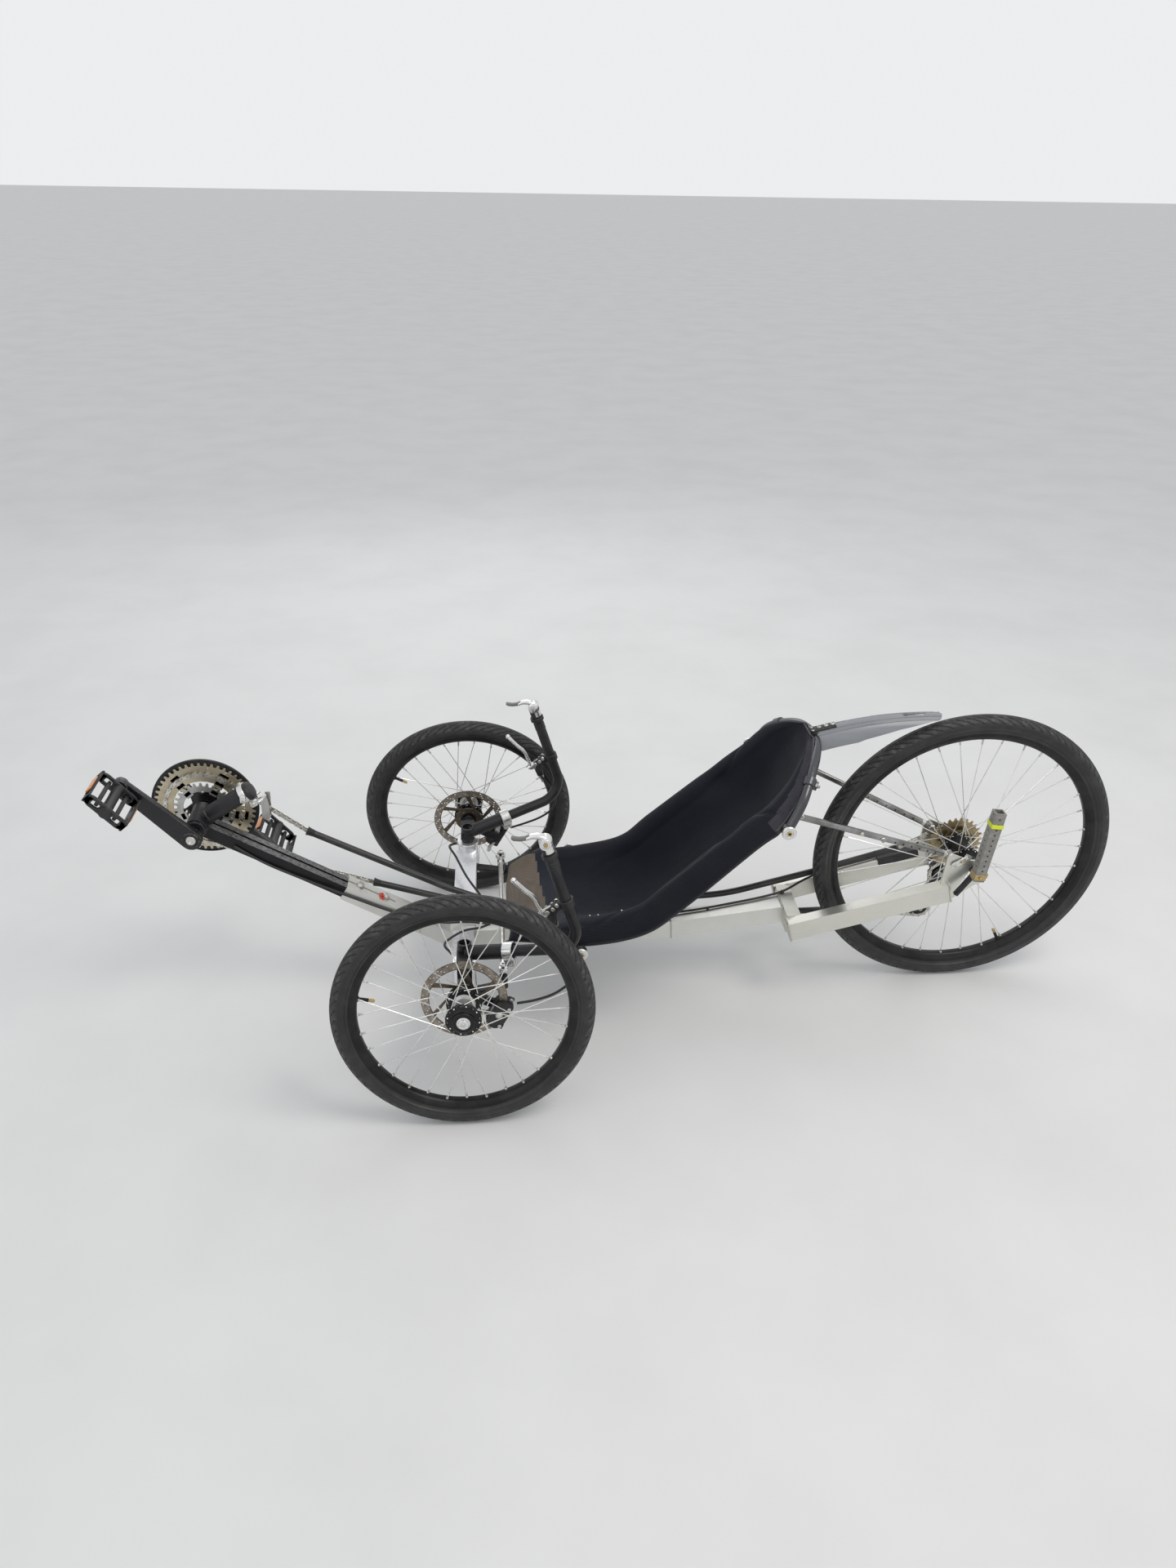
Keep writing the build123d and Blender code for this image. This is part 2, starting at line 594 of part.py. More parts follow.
def seat_frame():
    """The hoop round the seat's back, the strap under its front and the mounts on the frame."""
    hoop = ((-620, 178, 490), (-656, 166, 572), (-682, 120, 640), (-700, 0, 664), (-682, -120, 640),
            (-656, -166, 572), (-620, -178, 490))
    points = [Vector(*p) for p in hoop]
    body = tube_path(points, cable_radii(points), 10)
    for s in (1, -1):
        body += rod((-620, s * 177, 490), (-620, s * 190, 490), 13)
    nodes["seat_hoop"] = body - nodes["seat_cover"]
    strap = ((-228, 192, 230), (-228, 158, 206), (-228, -158, 206), (-228, -192, 230))
    points = [Vector(*p) for p in strap]
    body_front = tube_path(points, 40, 8)
    for s in (1, -1):
        body_front += rod((-228, s * 185, 228), (-228, s * 198, 228), 12)
    frame_top = FRAME_KINK[1] + TUBE_H / 2
    body_front += Pos(-228, 0, (frame_top + 4 + 206) / 2) * Box(44, 30, 206 - frame_top - 4)
    nodes["seat_strap"] = body_front - nodes["seat_cover"] - nodes["main_frame"]
    for s, name in ((1, "left"), (-1, "right")):
        front = Vector(-640, s * 150, 505)
        rear = Vector(STAY_END[0] + 7, s * (STAY_Y - 12), REAR_R + 27)
        strut = rod(front, rear, 6.5)
        strut += rod(rear - Vector(0, s * 6, 0), rear + Vector(0, s * (12 - DROPOUT_T / 2), 0), 8)
        for i in range(6):
            foot = along(rear, front, 45 + 22 * i)
            strut -= rod(foot - Vector(0, 12, 0), foot + Vector(0, 12, 0), 2.2)
        bolt = along(rear, front, 188)
        strut += rod(bolt + Vector(0, s * 5, -2), bolt + Vector(0, s * 11, -2), 3.5)
        nodes["seat_strut_" + name] = strut


def fender():
    """The short ribbed mudguard behind the seat: an arched section turned about a far centre."""
    middle = (-925, 0, 645 - FENDER_R)
    skin = FENDER_T
    outer = ThreePointArc((-30, FENDER_R - 34), (0, FENDER_R), (30, FENDER_R - 34))
    inner = ThreePointArc((skin - 30, FENDER_R - 34), (0, FENDER_R - skin), (30 - skin, FENDER_R - 34))
    ends = [Line(outer @ 0, inner @ 0), Line(outer @ 1, inner @ 1)]
    section = make_face([outer, inner] + ends)
    for angle in (-34, -17, 17, 34):
        a = radians(angle)
        section += Pos(30.2 * sin(a), FENDER_R - 30.2 * (1 - cos(a))) * Circle(1.5)
    turned = Plane(origin=middle, x_dir=(0, 1, 0), z_dir=(1, 0, 0)) * section
    hinge = Axis(middle, (0, 1, 0))
    arch = revolve(turned, axis=hinge, revolution_arc=19).rotate(hinge, -3)
    plan = Polyline((-700, -34), (-880, -31), (-940, -20)) + ThreePointArc((-940, -20), (-958, 0), (-940, 20))
    plan += Polyline((-940, 20), (-880, 31), (-700, 34), (-700, -34))
    arch &= Pos(0, 0, 560) * extrude(make_face(plan), amount=120)
    below = Polyline((-690, 540), (-700, 556), (-735, 576), (-801, 605), (-868, 624), (-934, 637),
                     (-990, 640), (-990, 540), close=True)
    side = Plane(origin=(0, 0, 0), x_dir=(1, 0, 0), z_dir=(0, -1, 0))
    arch -= extrude(side * make_face(below), amount=60, both=True)
    slot = Pos(-905, 0, 650) * Box(38, 8, 40) + Pos(-884, 0, 650) * Cylinder(6, 40)
    nodes["rear_fender"] = arch - slot
    strap = beam((-706, 0, 660), (-722, 0, 624), 24, 4) + beam((-716, 0, 620.4), (-775, 0, 633.9), 24, 4)
    nodes["fender_bracket"] = strap - nodes["seat_hoop"] - nodes["rear_fender"]


def belt(items):
    """Lines and arcs of a chain round toothed wheels, each item a place, radius and turn sense."""
    edges = []
    last = None
    for (ca, ra), (cb, rb) in zip(items, items[1:]):
        dx = cb[0] - ca[0]
        dz = cb[1] - ca[1]
        d = (dx * dx + dz * dz) ** 0.5
        shift = (rb - ra) / d
        heading = atan2(dz, dx) - atan2(shift, (1 - shift * shift) ** 0.5)
        n = (-sin(heading), cos(heading))
        pa = (ca[0] - ra * n[0], ca[1] - ra * n[1])
        pb = (cb[0] - rb * n[0], cb[1] - rb * n[1])
        if last:
            was, place, reach = last
            a0 = atan2(was[1] - place[1], was[0] - place[0])
            a1 = atan2(pa[1] - place[1], pa[0] - place[0])
            if reach > 0 and a1 < a0:
                a1 += 2 * pi
            if reach < 0 and a1 > a0:
                a1 -= 2 * pi
            mid = (a0 + a1) / 2
            r = abs(reach)
            edges.append(ThreePointArc(was, (place[0] + r * cos(mid), place[1] + r * sin(mid)), pa))
        edges.append(Line(pa, pb))
        last = (pb, cb, rb)
    return edges


def chain_run(items):
    """Waisted side plates along a belt line beside the middle, and rollers where no tooth is."""
    path = Wire(belt(items))
    count = int(path.length / PITCH * 2)
    above = []
    below = []
    rollers = []
    for i in range(count + 1):
        t = i * PITCH / 2 / path.length
        at = path @ t
        ahead = path % t
        up = Vector(-ahead.Y, ahead.X, 0)
        half = WAIST if i % 2 else LINK
        above.append(at + up * half)
        below.append(at - up * half)
        free = all(abs((at - Vector(*c)).length - abs(r)) > 7 for c, r in items if r)
        if i % 2 == 0 and free:
            rollers.append(Pos(at.X, at.Y) * RegularPolygon(3.4, 4))
    plate = make_face(Polyline(*above, *reversed(below), close=True))
    body = Part()
    for y in (CHAIN_Y - GAP, CHAIN_Y + GAP + PLATE):
        body += extrude(Plane(origin=(0, y, 0), x_dir=(1, 0, 0), z_dir=(0, -1, 0)) * plate, amount=PLATE)
    middle = Plane(origin=(0, CHAIN_Y, 0), x_dir=(1, 0, 0), z_dir=(0, -1, 0))
    return body + [extrude(middle * r, amount=GAP + 0.2, both=True) for r in rollers]


def chain():
    """The chain outside its two guide tubes: round the ring, and round cassette and jockeys."""
    front = chain_run(((LOWER[0], 0), (BB, RING), (UPPER[0], 0)))
    rear = chain_run(((LOWER[-1], 0), (JOCKEY_LOW, -JOCKEY), (JOCKEY_TOP, JOCKEY),
                      ((REAR_X, REAR_R), -SPROCKET), (UPPER[-1], 0)))
    for name, route in (("chain_tube_upper", UPPER), ("chain_tube_lower", LOWER)):
        points = [Vector(x, CHAIN_Y, z) for x, z in route]
        tube = tube_path(points, cable_radii(points), 7)
        front -= tube
        rear -= tube
        nodes[name] = tube
    nodes["chain"] = Part(children=[front, rear])


def rear_derailleur():
    """A cage with two toothed jockeys, hung on a parallelogram from the right dropout."""
    upper = Vector(JOCKEY_TOP[0], CHAIN_Y, JOCKEY_TOP[1])
    lower = Vector(JOCKEY_LOW[0], CHAIN_Y, JOCKEY_LOW[1])
    body = Part()
    for y in (-6, 6):
        shift = Vector(0, y, 0)
        body += beam(upper + shift, lower + shift, 2, 18)
        for c in (upper, lower):
            body += rod(c + shift - Vector(0, 1, 0), c + shift + Vector(0, 1, 0), 12)
        middle = (upper + lower) * 0.5 + shift
        body -= beam(middle - (lower - upper) * 0.2, middle + (lower - upper) * 0.2, 6, 7)
    for c in (upper, lower):
        body += rod(c - Vector(0, 6.5, 0), c + Vector(0, 6.5, 0), 5)
        body += Plane(origin=c, x_dir=(1, 0, 0), z_dir=(0, -1, 0)) * toothed(10, 2.2)
    hanger = Vector(REAR_X - 14, -STAY_Y, REAR_R - 28)
    body += rod(upper + Vector(0, -7, 0), upper + Vector(0, -26, 0), 12)
    body += rod(hanger + Vector(0, -24, 0), hanger + Vector(0, -DROPOUT_T / 2, 0), 11)
    for shift in (Vector(-5, -18, 0), Vector(7, -18, 0)):
        body += beam(upper + shift, hanger + shift + Vector(0, 4, 0), 12, 5)
    nodes["rear_derailleur"] = body - nodes["chainstay_right"]


def sector(r_in, r_out, first, last):
    """A face between two radii and two angles in degrees, about the crank axle."""
    def at(r, angle):
        return (r * cos(radians(angle)), r * sin(radians(angle)))
    mid = (first + last) / 2
    inner = ThreePointArc(at(r_in, first), at(r_in, mid), at(r_in, last))
    outer = ThreePointArc(at(r_out, first), at(r_out, mid), at(r_out, last))
    return make_face(inner + Line(inner @ 1, outer @ 1) + outer + Line(outer @ 0, inner @ 0))


def front_derailleur():
    """A curved cage round the chain behind the rings, clamped on the post."""
    side = Plane(origin=(BB[0], 0, BB[1]), x_dir=(1, 0, 0), z_dir=(0, -1, 0))
    body = Part()
    for y in (37.5, 58):
        body += side * Pos(0, 0, y) * extrude(sector(110, 134, 153, 197), amount=1.5)
    for first, last in ((153, 156), (195, 197)):
        body += side * Pos(0, 0, 38) * extrude(sector(111, 133, first, last), amount=21)
    body += beam((BB[0] - 108, -38.5, BB[1] + 48), (BB[0] - 96, -12, BB[1] + 56), 14, 10, side=(1, 0, 0))
    slope = Vector(-100, 0, 61).normalized()
    mid = Vector(BB[0] - 8, 0, BB[1] + 5) + slope * 98
    body += extrude(Plane(origin=mid, z_dir=slope) * (Circle(21) - Circle(17)), amount=12)
    body += Pos(*(mid + slope * 6 + Vector(0, 23, 0))) * Box(10, 8, 12)
    nodes["front_derailleur"] = body - nodes["bottom_bracket"]


def flag_holder():
    """The square tube that takes a flag's stick, on the left dropout."""
    foot = (REAR_X + 4, STAY_Y + 34, REAR_R - 4)
    top = (REAR_X - 14, STAY_Y + 34, REAR_R + 156)
    holder = beam(foot, top, 22, 22) - beam(along(foot, top, 20), along(foot, top, 200), 16, 16)
    holder += rod((REAR_X + 2, STAY_Y + 16, REAR_R + 12), (REAR_X + 2, STAY_Y + 26, REAR_R + 12), 6)
    nodes["flag_holder"] = holder


def cables():
    """Brake cables on the knuckles, the two shift cables on the frame and the rear one's guard."""
    brake = ((-168, 284, 372), (-182, 300, 345), (-206, 317, 305), (-201, 324, 262), (-168, 327, 236),
             (-130, 326, 222), (-98, 322, 214))
    both("brake_cable", cable("brake cable", brake, 2.5))
    front = ((-46, 30, 190), (0, 28, 196), (48, 26, 192), (110, 25.5, 206), (170, 25.5, 232),
             (250, 25.5, 272), (330, 24, 312), (400, 23, 350), (455, 22, 392))
    nodes["front_shift_cable"] = cable("front shift cable", front, 2.5)
    rear = ((-46, -29, 186), (-100, -20, 172), (-158, -18.5, 172.5), (-216, -18.8, 173.4),
            (-275, -16.5, 174.2), (-334, -12, 175.4), (-393, -8, 176.2), (-452, -5, 179),
            (-511, -6, 186.6), (-570, -12, 193.6), (-629, -17, 201.5), (-688, -27, 210.2),
            (-735, -54, 221), (-785, -68, 234), (-840, -71, 248), (-896, -73, 262.6),
            (-950, -77, 277.2), (-998, -84, 291), (-1036, -94, 301), (-1073, -103, 304),
            (-1103, -106, 288), (-1110, -101, 258), (-1090, -88, 236), (-1056, -76, 228))
    nodes["rear_shift_cable"] = cable("rear shift cable", rear, 2.5)
    guard = beam((-900, -STAY_Y, 259), (-986, -STAY_Y, 282), 33, 20)
    nodes["stay_guard"] = guard - nodes["chainstay_right"] - nodes["rear_shift_cable"]


front_wheels()
rear_wheel()
main_frame()
cross_arms()
stays()
boom()
cranks()
steering()
calliper()
tie_rod()
seat()
seat_frame()
fender()
chain()
rear_derailleur()
front_derailleur()
flag_holder()
cables()

os.makedirs("parts", exist_ok=True)
for name, solid in nodes.items():
    moved = Pos(AXLE_X, 0, 0) * solid
    export_step(moved, "parts/" + name + ".step")
box = Compound(children=[Pos(AXLE_X, 0, 0) * s for s in nodes.values()]).bounding_box()
print("box", box.min, box.max)
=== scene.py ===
import random
from math import acos, asin, atan2, cos, degrees, exp, hypot, pi, radians, sin, sqrt, tan

import bmesh
import bpy
from mathutils import Matrix, Vector
from mathutils.kdtree import KDTree


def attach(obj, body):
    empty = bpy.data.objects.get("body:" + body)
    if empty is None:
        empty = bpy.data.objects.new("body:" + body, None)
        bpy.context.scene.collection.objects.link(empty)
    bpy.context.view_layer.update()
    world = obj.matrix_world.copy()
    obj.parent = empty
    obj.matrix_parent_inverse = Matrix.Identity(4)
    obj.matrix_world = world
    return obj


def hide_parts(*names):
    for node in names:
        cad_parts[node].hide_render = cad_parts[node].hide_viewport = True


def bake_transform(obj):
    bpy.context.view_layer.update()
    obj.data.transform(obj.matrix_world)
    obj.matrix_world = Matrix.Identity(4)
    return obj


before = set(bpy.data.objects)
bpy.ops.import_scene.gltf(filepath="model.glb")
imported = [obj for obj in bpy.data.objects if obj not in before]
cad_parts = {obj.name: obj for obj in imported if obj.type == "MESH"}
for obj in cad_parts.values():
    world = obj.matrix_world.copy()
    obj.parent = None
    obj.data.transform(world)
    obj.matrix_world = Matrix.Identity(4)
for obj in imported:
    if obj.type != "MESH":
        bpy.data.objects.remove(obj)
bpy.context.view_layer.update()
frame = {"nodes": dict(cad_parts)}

nodes = frame["nodes"]

# Sizes in millimetres, laid out from the front axle line: X forward, Y to the rider's left.
AHEAD, LEFT, RIGHT, UP, DOWN = (1, 0, 0), (0, 1, 0), (0, -1, 0), (0, 0, 1), (0, 0, -1)
AXLE_X = 352.32
CAMBER = radians(5.7)
# the tyre's radius and its section's, and the outer and inner radius of the rim
FRONT_R, FRONT_TYRE, FRONT_RIM, FRONT_BED = 241.0, 19.0, 209.0, 192.0
REAR_R, REAR_TYRE, REAR_RIM, REAR_BED = 320.0, 19.5, 286.0, 267.0
FRONT_FLANGES, REAR_FLANGES = (25, -27), (34, -24)
HUB_Y = 373.0
HUB_Z = (FRONT_R - FRONT_TYRE) * cos(CAMBER) + FRONT_TYRE
REAR_X = -1054.0
BB = (520.0, 442.0)
CRANK, CRANK_Y, CRANK_ANGLE = 165.0, 74.0, radians(47)
ROTOR_AT, CALLIPER_TURN = -43.0, -208
SIDES = ((1, "left"), (-1, "right"))
IDENTITY = Matrix.Identity(4)
MERGE = 0.01


def V(*p):
    """A vector from three numbers or from a tuple of them."""
    return Vector(p[0] if len(p) == 1 else p)


def aim(origin, z, x=(1, 0, 0)):
    """A place at origin with local Z along z and local X as near x as it can be."""
    z = V(z).normalized()
    x = V(x) - z * V(x).dot(z)
    if x.length < 1e-6:
        x = z.orthogonal()
    x.normalize()
    y = z.cross(x)
    m = Matrix((x, y, z)).transposed().to_4x4()
    m.translation = V(origin)
    return m


def at(x, y, z):
    return Matrix.Translation((x, y, z))


def turn(degree, axis="Z"):
    return Matrix.Rotation(radians(degree), 4, axis)


def angles(count, start=0.0):
    """Angles spread evenly round a circle."""
    return [start + 2 * pi * i / count for i in range(count)]


def polar(r, angle):
    return r * cos(angle), r * sin(angle)


def ring_points(r, count):
    """The outline of a circle about the middle."""
    return [polar(r, a) for a in angles(count)]


def arc_at(r, first, last, steps):
    """Points of an arc about the middle, from one angle in degrees to another."""
    return [polar(r, radians(first + (last - first) * i / steps)) for i in range(steps + 1)]


def hole_at(reach, angle, r):
    """A round hole's outline at a reach and an angle from the middle."""
    cx, cy = polar(reach, angle)
    return [(cx + x, cy + y) for x, y in ring_points(r, 8)]


def slot_points(x, y, length, width, angle=0.0, steps=6):
    """The outline of a slot with round ends."""
    made = []
    for end, base in ((1, -pi / 2), (-1, pi / 2)):
        for i in range(steps + 1):
            a = base + pi * i / steps
            px = end * (length - width) / 2 + width / 2 * cos(a)
            py = width / 2 * sin(a)
            made.append((x + px * cos(angle) - py * sin(angle),
                         y + px * sin(angle) + py * cos(angle)))
    return made


def capsule(a, b, ra, rb, steps):
    """The outline round two circles of radius ra at a and rb at b."""
    d = hypot(b[0] - a[0], b[1] - a[1])
    heading = atan2(b[1] - a[1], b[0] - a[0])
    lean = acos((ra - rb) / d)
    made = []
    for c, r, first, last in ((a, ra, lean, 2 * pi - lean), (b, rb, -lean, lean)):
        for i in range(steps + 1):
            t = heading + first + (last - first) * i / steps
            made.append((c[0] + r * cos(t), c[1] + r * sin(t)))
    return made


def each(value, count):
    """A number as often as said, or the numbers as they are."""
    return value if hasattr(value, "__len__") else [value] * count


def tangents(points):
    """The way that a line of points runs at each of them."""
    last = len(points) - 1
    return [(points[min(i + 1, last)] - points[max(i - 1, 0)]).normalized()
            for i in range(last + 1)]


class Shape:
    """The faces of one piece, in millimetres; mark is the material that new faces take."""

    def __init__(self):
        self.verts, self.faces, self.marks = [], [], []
        self.mark = 0

    def add(self, verts, faces, place=IDENTITY):
        n = len(self.verts)
        self.verts += [place @ V(v) for v in verts]
        self.faces += [[i + n for i in f] for f in faces]
        self.marks += [self.mark] * len(faces)
        return self

    def take(self, bm, place=IDENTITY):
        bm.verts.ensure_lookup_table()
        bm.verts.index_update()
        self.add([v.co.copy() for v in bm.verts],
                 [[v.index for v in f.verts] for f in bm.faces], place)
        bm.free()
        return self

    def lathe(self, profile, place=IDENTITY, n=32, closed=False):
        """A profile of radius and height turned about local Z."""
        k = len(profile)
        verts = [(r * cos(2 * pi * j / n), r * sin(2 * pi * j / n), z)
                 for j in range(n) for r, z in profile]
        faces = []
        for j in range(n):
            for i in range(k if closed else k - 1):
                a, b = j * k + i, j * k + (i + 1) % k
                c, d = ((j + 1) % n) * k + (i + 1) % k, ((j + 1) % n) * k + i
                faces.append((a, d, c, b))
        return self.add(verts, faces, place)

    def ring(self, profile, place=IDENTITY, n=32):
        """A closed profile turned about local Z."""
        return self.lathe(profile, place, n, closed=True)

    def rod(self, a, b, r, n=20, edge=0.6):
        """A round bar from a to b with a small chamfer at both ends."""
        d = V(b) - V(a)
        e = min(edge, r * 0.5)
        return self.lathe(((0, 0), (r - e, 0), (r, e), (r, d.length - e), (r - e, d.length),
                           (0, d.length)), aim(a, d), n)

    def pipe(self, a, b, r, hole, n=28, edge=0.5):
        """A short tube from a to b."""
        d = (V(b) - V(a)).length
        return self.ring(((hole, 0), (r - edge, 0), (r, edge), (r, d - edge), (r - edge, d),
                          (hole, d)), aim(a, V(b) - V(a)), n)

    def ball(self, centre, r, n=16, squash=1.0, axis=(0, 0, 1)):
        k = max(6, n // 2)
        profile = [(r * sin(pi * i / k), -r * squash * cos(pi * i / k)) for i in range(k + 1)]
        return self.lathe(profile, aim(centre, axis), n)

    def loft(self, rings, caps=True):
        """A skin over rings of as many points each, closed with a face at both ends."""
        n, last = len(rings[0]), len(rings) - 1
        faces = [(i * n + j, i * n + (j + 1) % n, (i + 1) * n + (j + 1) % n, (i + 1) * n + j)
                 for i in range(last) for j in range(n)]
        if caps:
            faces += [list(range(n))[::-1], list(range(last * n, last * n + n))]
        return self.add([p for ring in rings for p in ring], faces)

    def tube(self, points, r, n=12, caps=True):
        """A round bar through points, its radius one number or one for each point."""
        points = [V(p) for p in points]
        ways = tangents(points)
        side = ways[0].orthogonal().normalized()
        rings = []
        for p, t, radius in zip(points, ways, each(r, len(points))):
            side = (side - t * side.dot(t)).normalized()
            up = t.cross(side)
            rings.append([p + (side * cos(a) + up * sin(a)) * radius for a in angles(n)])
        return self.loft(rings, caps)

    def strap(self, points, wide, thick, side=LEFT, corner=0.3, steps=2):
        """A rounded flat bar through points; width and thickness are one number or one for each
        point, and corner is the rounding as a share of the smaller of the two."""
        points = [V(p) for p in points]
        rings = []
        for p, t, w, h in zip(points, tangents(points), each(wide, len(points)),
                              each(thick, len(points))):
            across = V(side)
            across = (across - t * across.dot(t)).normalized()
            up = t.cross(across)
            w, h = w / 2, h / 2
            r = min(w, h) * 2 * corner
            rings.append([p + across * (sx * (w - r) + r * cos(a))
                          + up * (sy * (h - r) + r * sin(a))
                          for q, (sx, sy) in enumerate(((1, 1), (-1, 1), (-1, -1), (1, -1)))
                          for a in (pi / 2 * (q + k / steps) for k in range(steps + 1))])
        return self.loft(rings)

    def box(self, size, place, bevel, segments=2):
        bm = bmesh.new()
        bmesh.ops.create_cube(bm, size=1)
        bmesh.ops.scale(bm, vec=V(size), verts=bm.verts)
        bmesh.ops.bevel(bm, geom=bm.edges[:], offset=bevel, segments=segments, profile=0.6,
                        affect="EDGES")
        return self.take(bm, place)

    def bar(self, a, b, wide, high, side, bevel):
        """A rectangular bar from a to b, its width along side."""
        return self.box((wide, high, (b - a).length), aim((a + b) / 2, b - a, side), bevel)

    def plate(self, outline, thick, place=IDENTITY, holes=(), bevel=0.0, segments=1):
        """A flat plate about local Z = 0 with holes through it."""
        data = bpy.data.curves.new("outline", "CURVE")
        data.dimensions = "2D"
        data.fill_mode = "BOTH"
        data.extrude = thick / 2
        for loop in (outline, *holes):
            spline = data.splines.new("POLY")
            spline.points.add(len(loop) - 1)
            for point, (x, y) in zip(spline.points, loop):
                point.co = (x, y, 0, 1)
            spline.use_cyclic_u = True
        holder = bpy.data.objects.new("outline", data)
        mesh = bpy.data.meshes.new_from_object(holder)
        bm = bmesh.new()
        bm.from_mesh(mesh)
        bmesh.ops.remove_doubles(bm, verts=bm.verts, dist=0.001)
        if bevel:
            rim = [e for e in bm.edges if len(e.link_faces) == 2 and e.calc_face_angle(0) > 0.9
                   and abs(e.verts[0].co.z - e.verts[1].co.z) < 0.01]
            bmesh.ops.bevel(bm, geom=rim, offset=bevel, segments=segments, affect="EDGES",
                            profile=0.5, clamp_overlap=True)
        bpy.data.objects.remove(holder)
        bpy.data.curves.remove(data)
        bpy.data.meshes.remove(mesh)
        return self.take(bm, place)

    def nut(self, place, across, high):
        """A hexagonal nut or bolt head standing on local Z = 0."""
        r = across / sqrt(3)
        return self.lathe(((0, 0), (r, 0), (r, high - 0.8), (r - 0.9, high), (0, high)), place, 6)

    def cap_screw(self, place, r, high):
        """A round socket-head screw standing on local Z = 0."""
        self.lathe(((0, 0), (r, 0), (r, high - 0.5), (r - 0.5, high), (r * 0.55, high)), place, 16)
        return self.lathe(((r * 0.55, high), (r * 0.5, high - r * 0.5), (0, high - r * 0.5)),
                          place, 6)

    def join(self, other, place):
        """The faces of another shape, moved to a place."""
        for mark in sorted(set(other.marks)):
            self.mark = mark
            chosen = [f for f, m in zip(other.faces, other.marks) if m == mark]
            used = sorted({i for f in chosen for i in f})
            index = {v: k for k, v in enumerate(used)}
            self.add([other.verts[i] for i in used], [[index[i] for i in f] for f in chosen], place)
        self.mark = 0
        return self


def link(obj):
    """Put a new object in the scene."""
    bpy.context.scene.collection.objects.link(obj)
    return obj


def metres(m):
    """A place in millimetres from the front axle line as one in metres in the row's frame."""
    out = m.copy()
    out.translation = (m.translation + V(AXLE_X, 0, 0)) / 1000
    return out


def piece(name, shape, mats, body, replaces=(), place=None, flip=False, sharp=32):
    """One Blender object from a shape; a placed one keeps its own axes for its material. Edges
    bent by more than sharp degrees stay sharp."""
    shift = V(0 if place else AXLE_X, 0, 0)
    verts = [(v + shift) / 1000 for v in shape.verts]
    if flip:
        verts = [V(v.x, -v.y, v.z) for v in verts]
    mesh = bpy.data.meshes.new(name)
    mesh.from_pydata(verts, [], shape.faces)
    mats = mats if isinstance(mats, (list, tuple)) else [mats]
    for m in mats:
        mesh.materials.append(m)
    mesh.polygons.foreach_set("material_index", shape.marks)
    bm = bmesh.new()
    bm.from_mesh(mesh)
    bmesh.ops.remove_doubles(bm, verts=bm.verts, dist=MERGE / 1000)
    if flip:
        bmesh.ops.reverse_faces(bm, faces=bm.faces)
    for f in bm.faces:
        f.smooth = True
    for e in bm.edges:
        e.smooth = len(e.link_faces) == 2 and e.calc_face_angle(0) < radians(sharp)
    bm.to_mesh(mesh)
    bm.free()
    mesh.validate()
    obj = link(bpy.data.objects.new(name, mesh))
    if place:
        obj.matrix_world = metres(place)
    if body:
        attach(obj, body)
    if replaces:
        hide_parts(*([replaces] if isinstance(replaces, str) else replaces))
    return obj


def pair(name, shape, mats, body, replaces=(), sharp=32):
    """A left piece and its mirror image, with left_ or right_ before the body, unless it is the
    frame, and _left or _right after the names of the pieces and of the nodes they replace."""
    for side, word in SIDES:
        piece(f"{name}_{word}", shape, mats, body if body == "frame" else f"{word}_{body}",
              [f"{r}_{word}" for r in replaces], flip=side < 0, sharp=sharp)


def dress(node, material):
    """Give a CAD node its material."""
    mesh = nodes[node].data
    mesh.materials.clear()
    mesh.materials.append(material)


def arc_points(points, radius, steps):
    """A line through points with its corners rounded to radius."""
    points = [V(p) for p in points]
    made = [points[0]]
    for a, b, c in zip(points, points[1:], points[2:]):
        u, w = (a - b).normalized(), (c - b).normalized()
        half = acos(max(-1, min(1, u.dot(w)))) / 2
        reach = min(radius / tan(half), 0.48 * (a - b).length, 0.48 * (c - b).length)
        r = reach * tan(half)
        centre = b + (u + w).normalized() * (r / sin(half))
        p, q = b + u * reach - centre, b + w * reach - centre
        whole = p.angle(q)
        for i in range(steps + 1):
            t = whole * i / steps
            made.append(centre + (p * sin(whole - t) + q * sin(t)) / sin(whole))
    return made + [points[-1]]


def between(a, b, c, d, t):
    """The value at t from b to c on a smooth curve through four numbers or points."""
    return 0.5 * (2 * b + (c - a) * t + (2 * a - 5 * b + 4 * c - d) * t ** 2
                  + (3 * b - a - 3 * c + d) * t ** 3)


def smooth_line(points, steps):
    """A smooth line through points."""
    points = [V(p) for p in points]
    padded = [points[0] * 2 - points[1], *points, points[-1] * 2 - points[-2]]
    return [between(*four, i / steps) for four in zip(padded, padded[1:], padded[2:], padded[3:])
            for i in range(steps)] + [points[-1]]


class Socket:
    """An output of a node; sums with other sockets or with numbers make further nodes."""

    def __init__(self, nodes, node, name=0):
        self.nodes, self.node, self.socket = nodes, node, node.outputs[name]

    def other(self, name):
        """Another output of the same node."""
        return Socket(self.nodes, self.node, name)

    def __add__(self, value):
        return self.nodes.math("ADD", self, value)

    def __mul__(self, value):
        return self.nodes.math("MULTIPLY", self, value)

    def __sub__(self, value):
        return self.nodes.math("SUBTRACT", self, value)

    def __rsub__(self, value):
        return self.nodes.math("SUBTRACT", value, self)


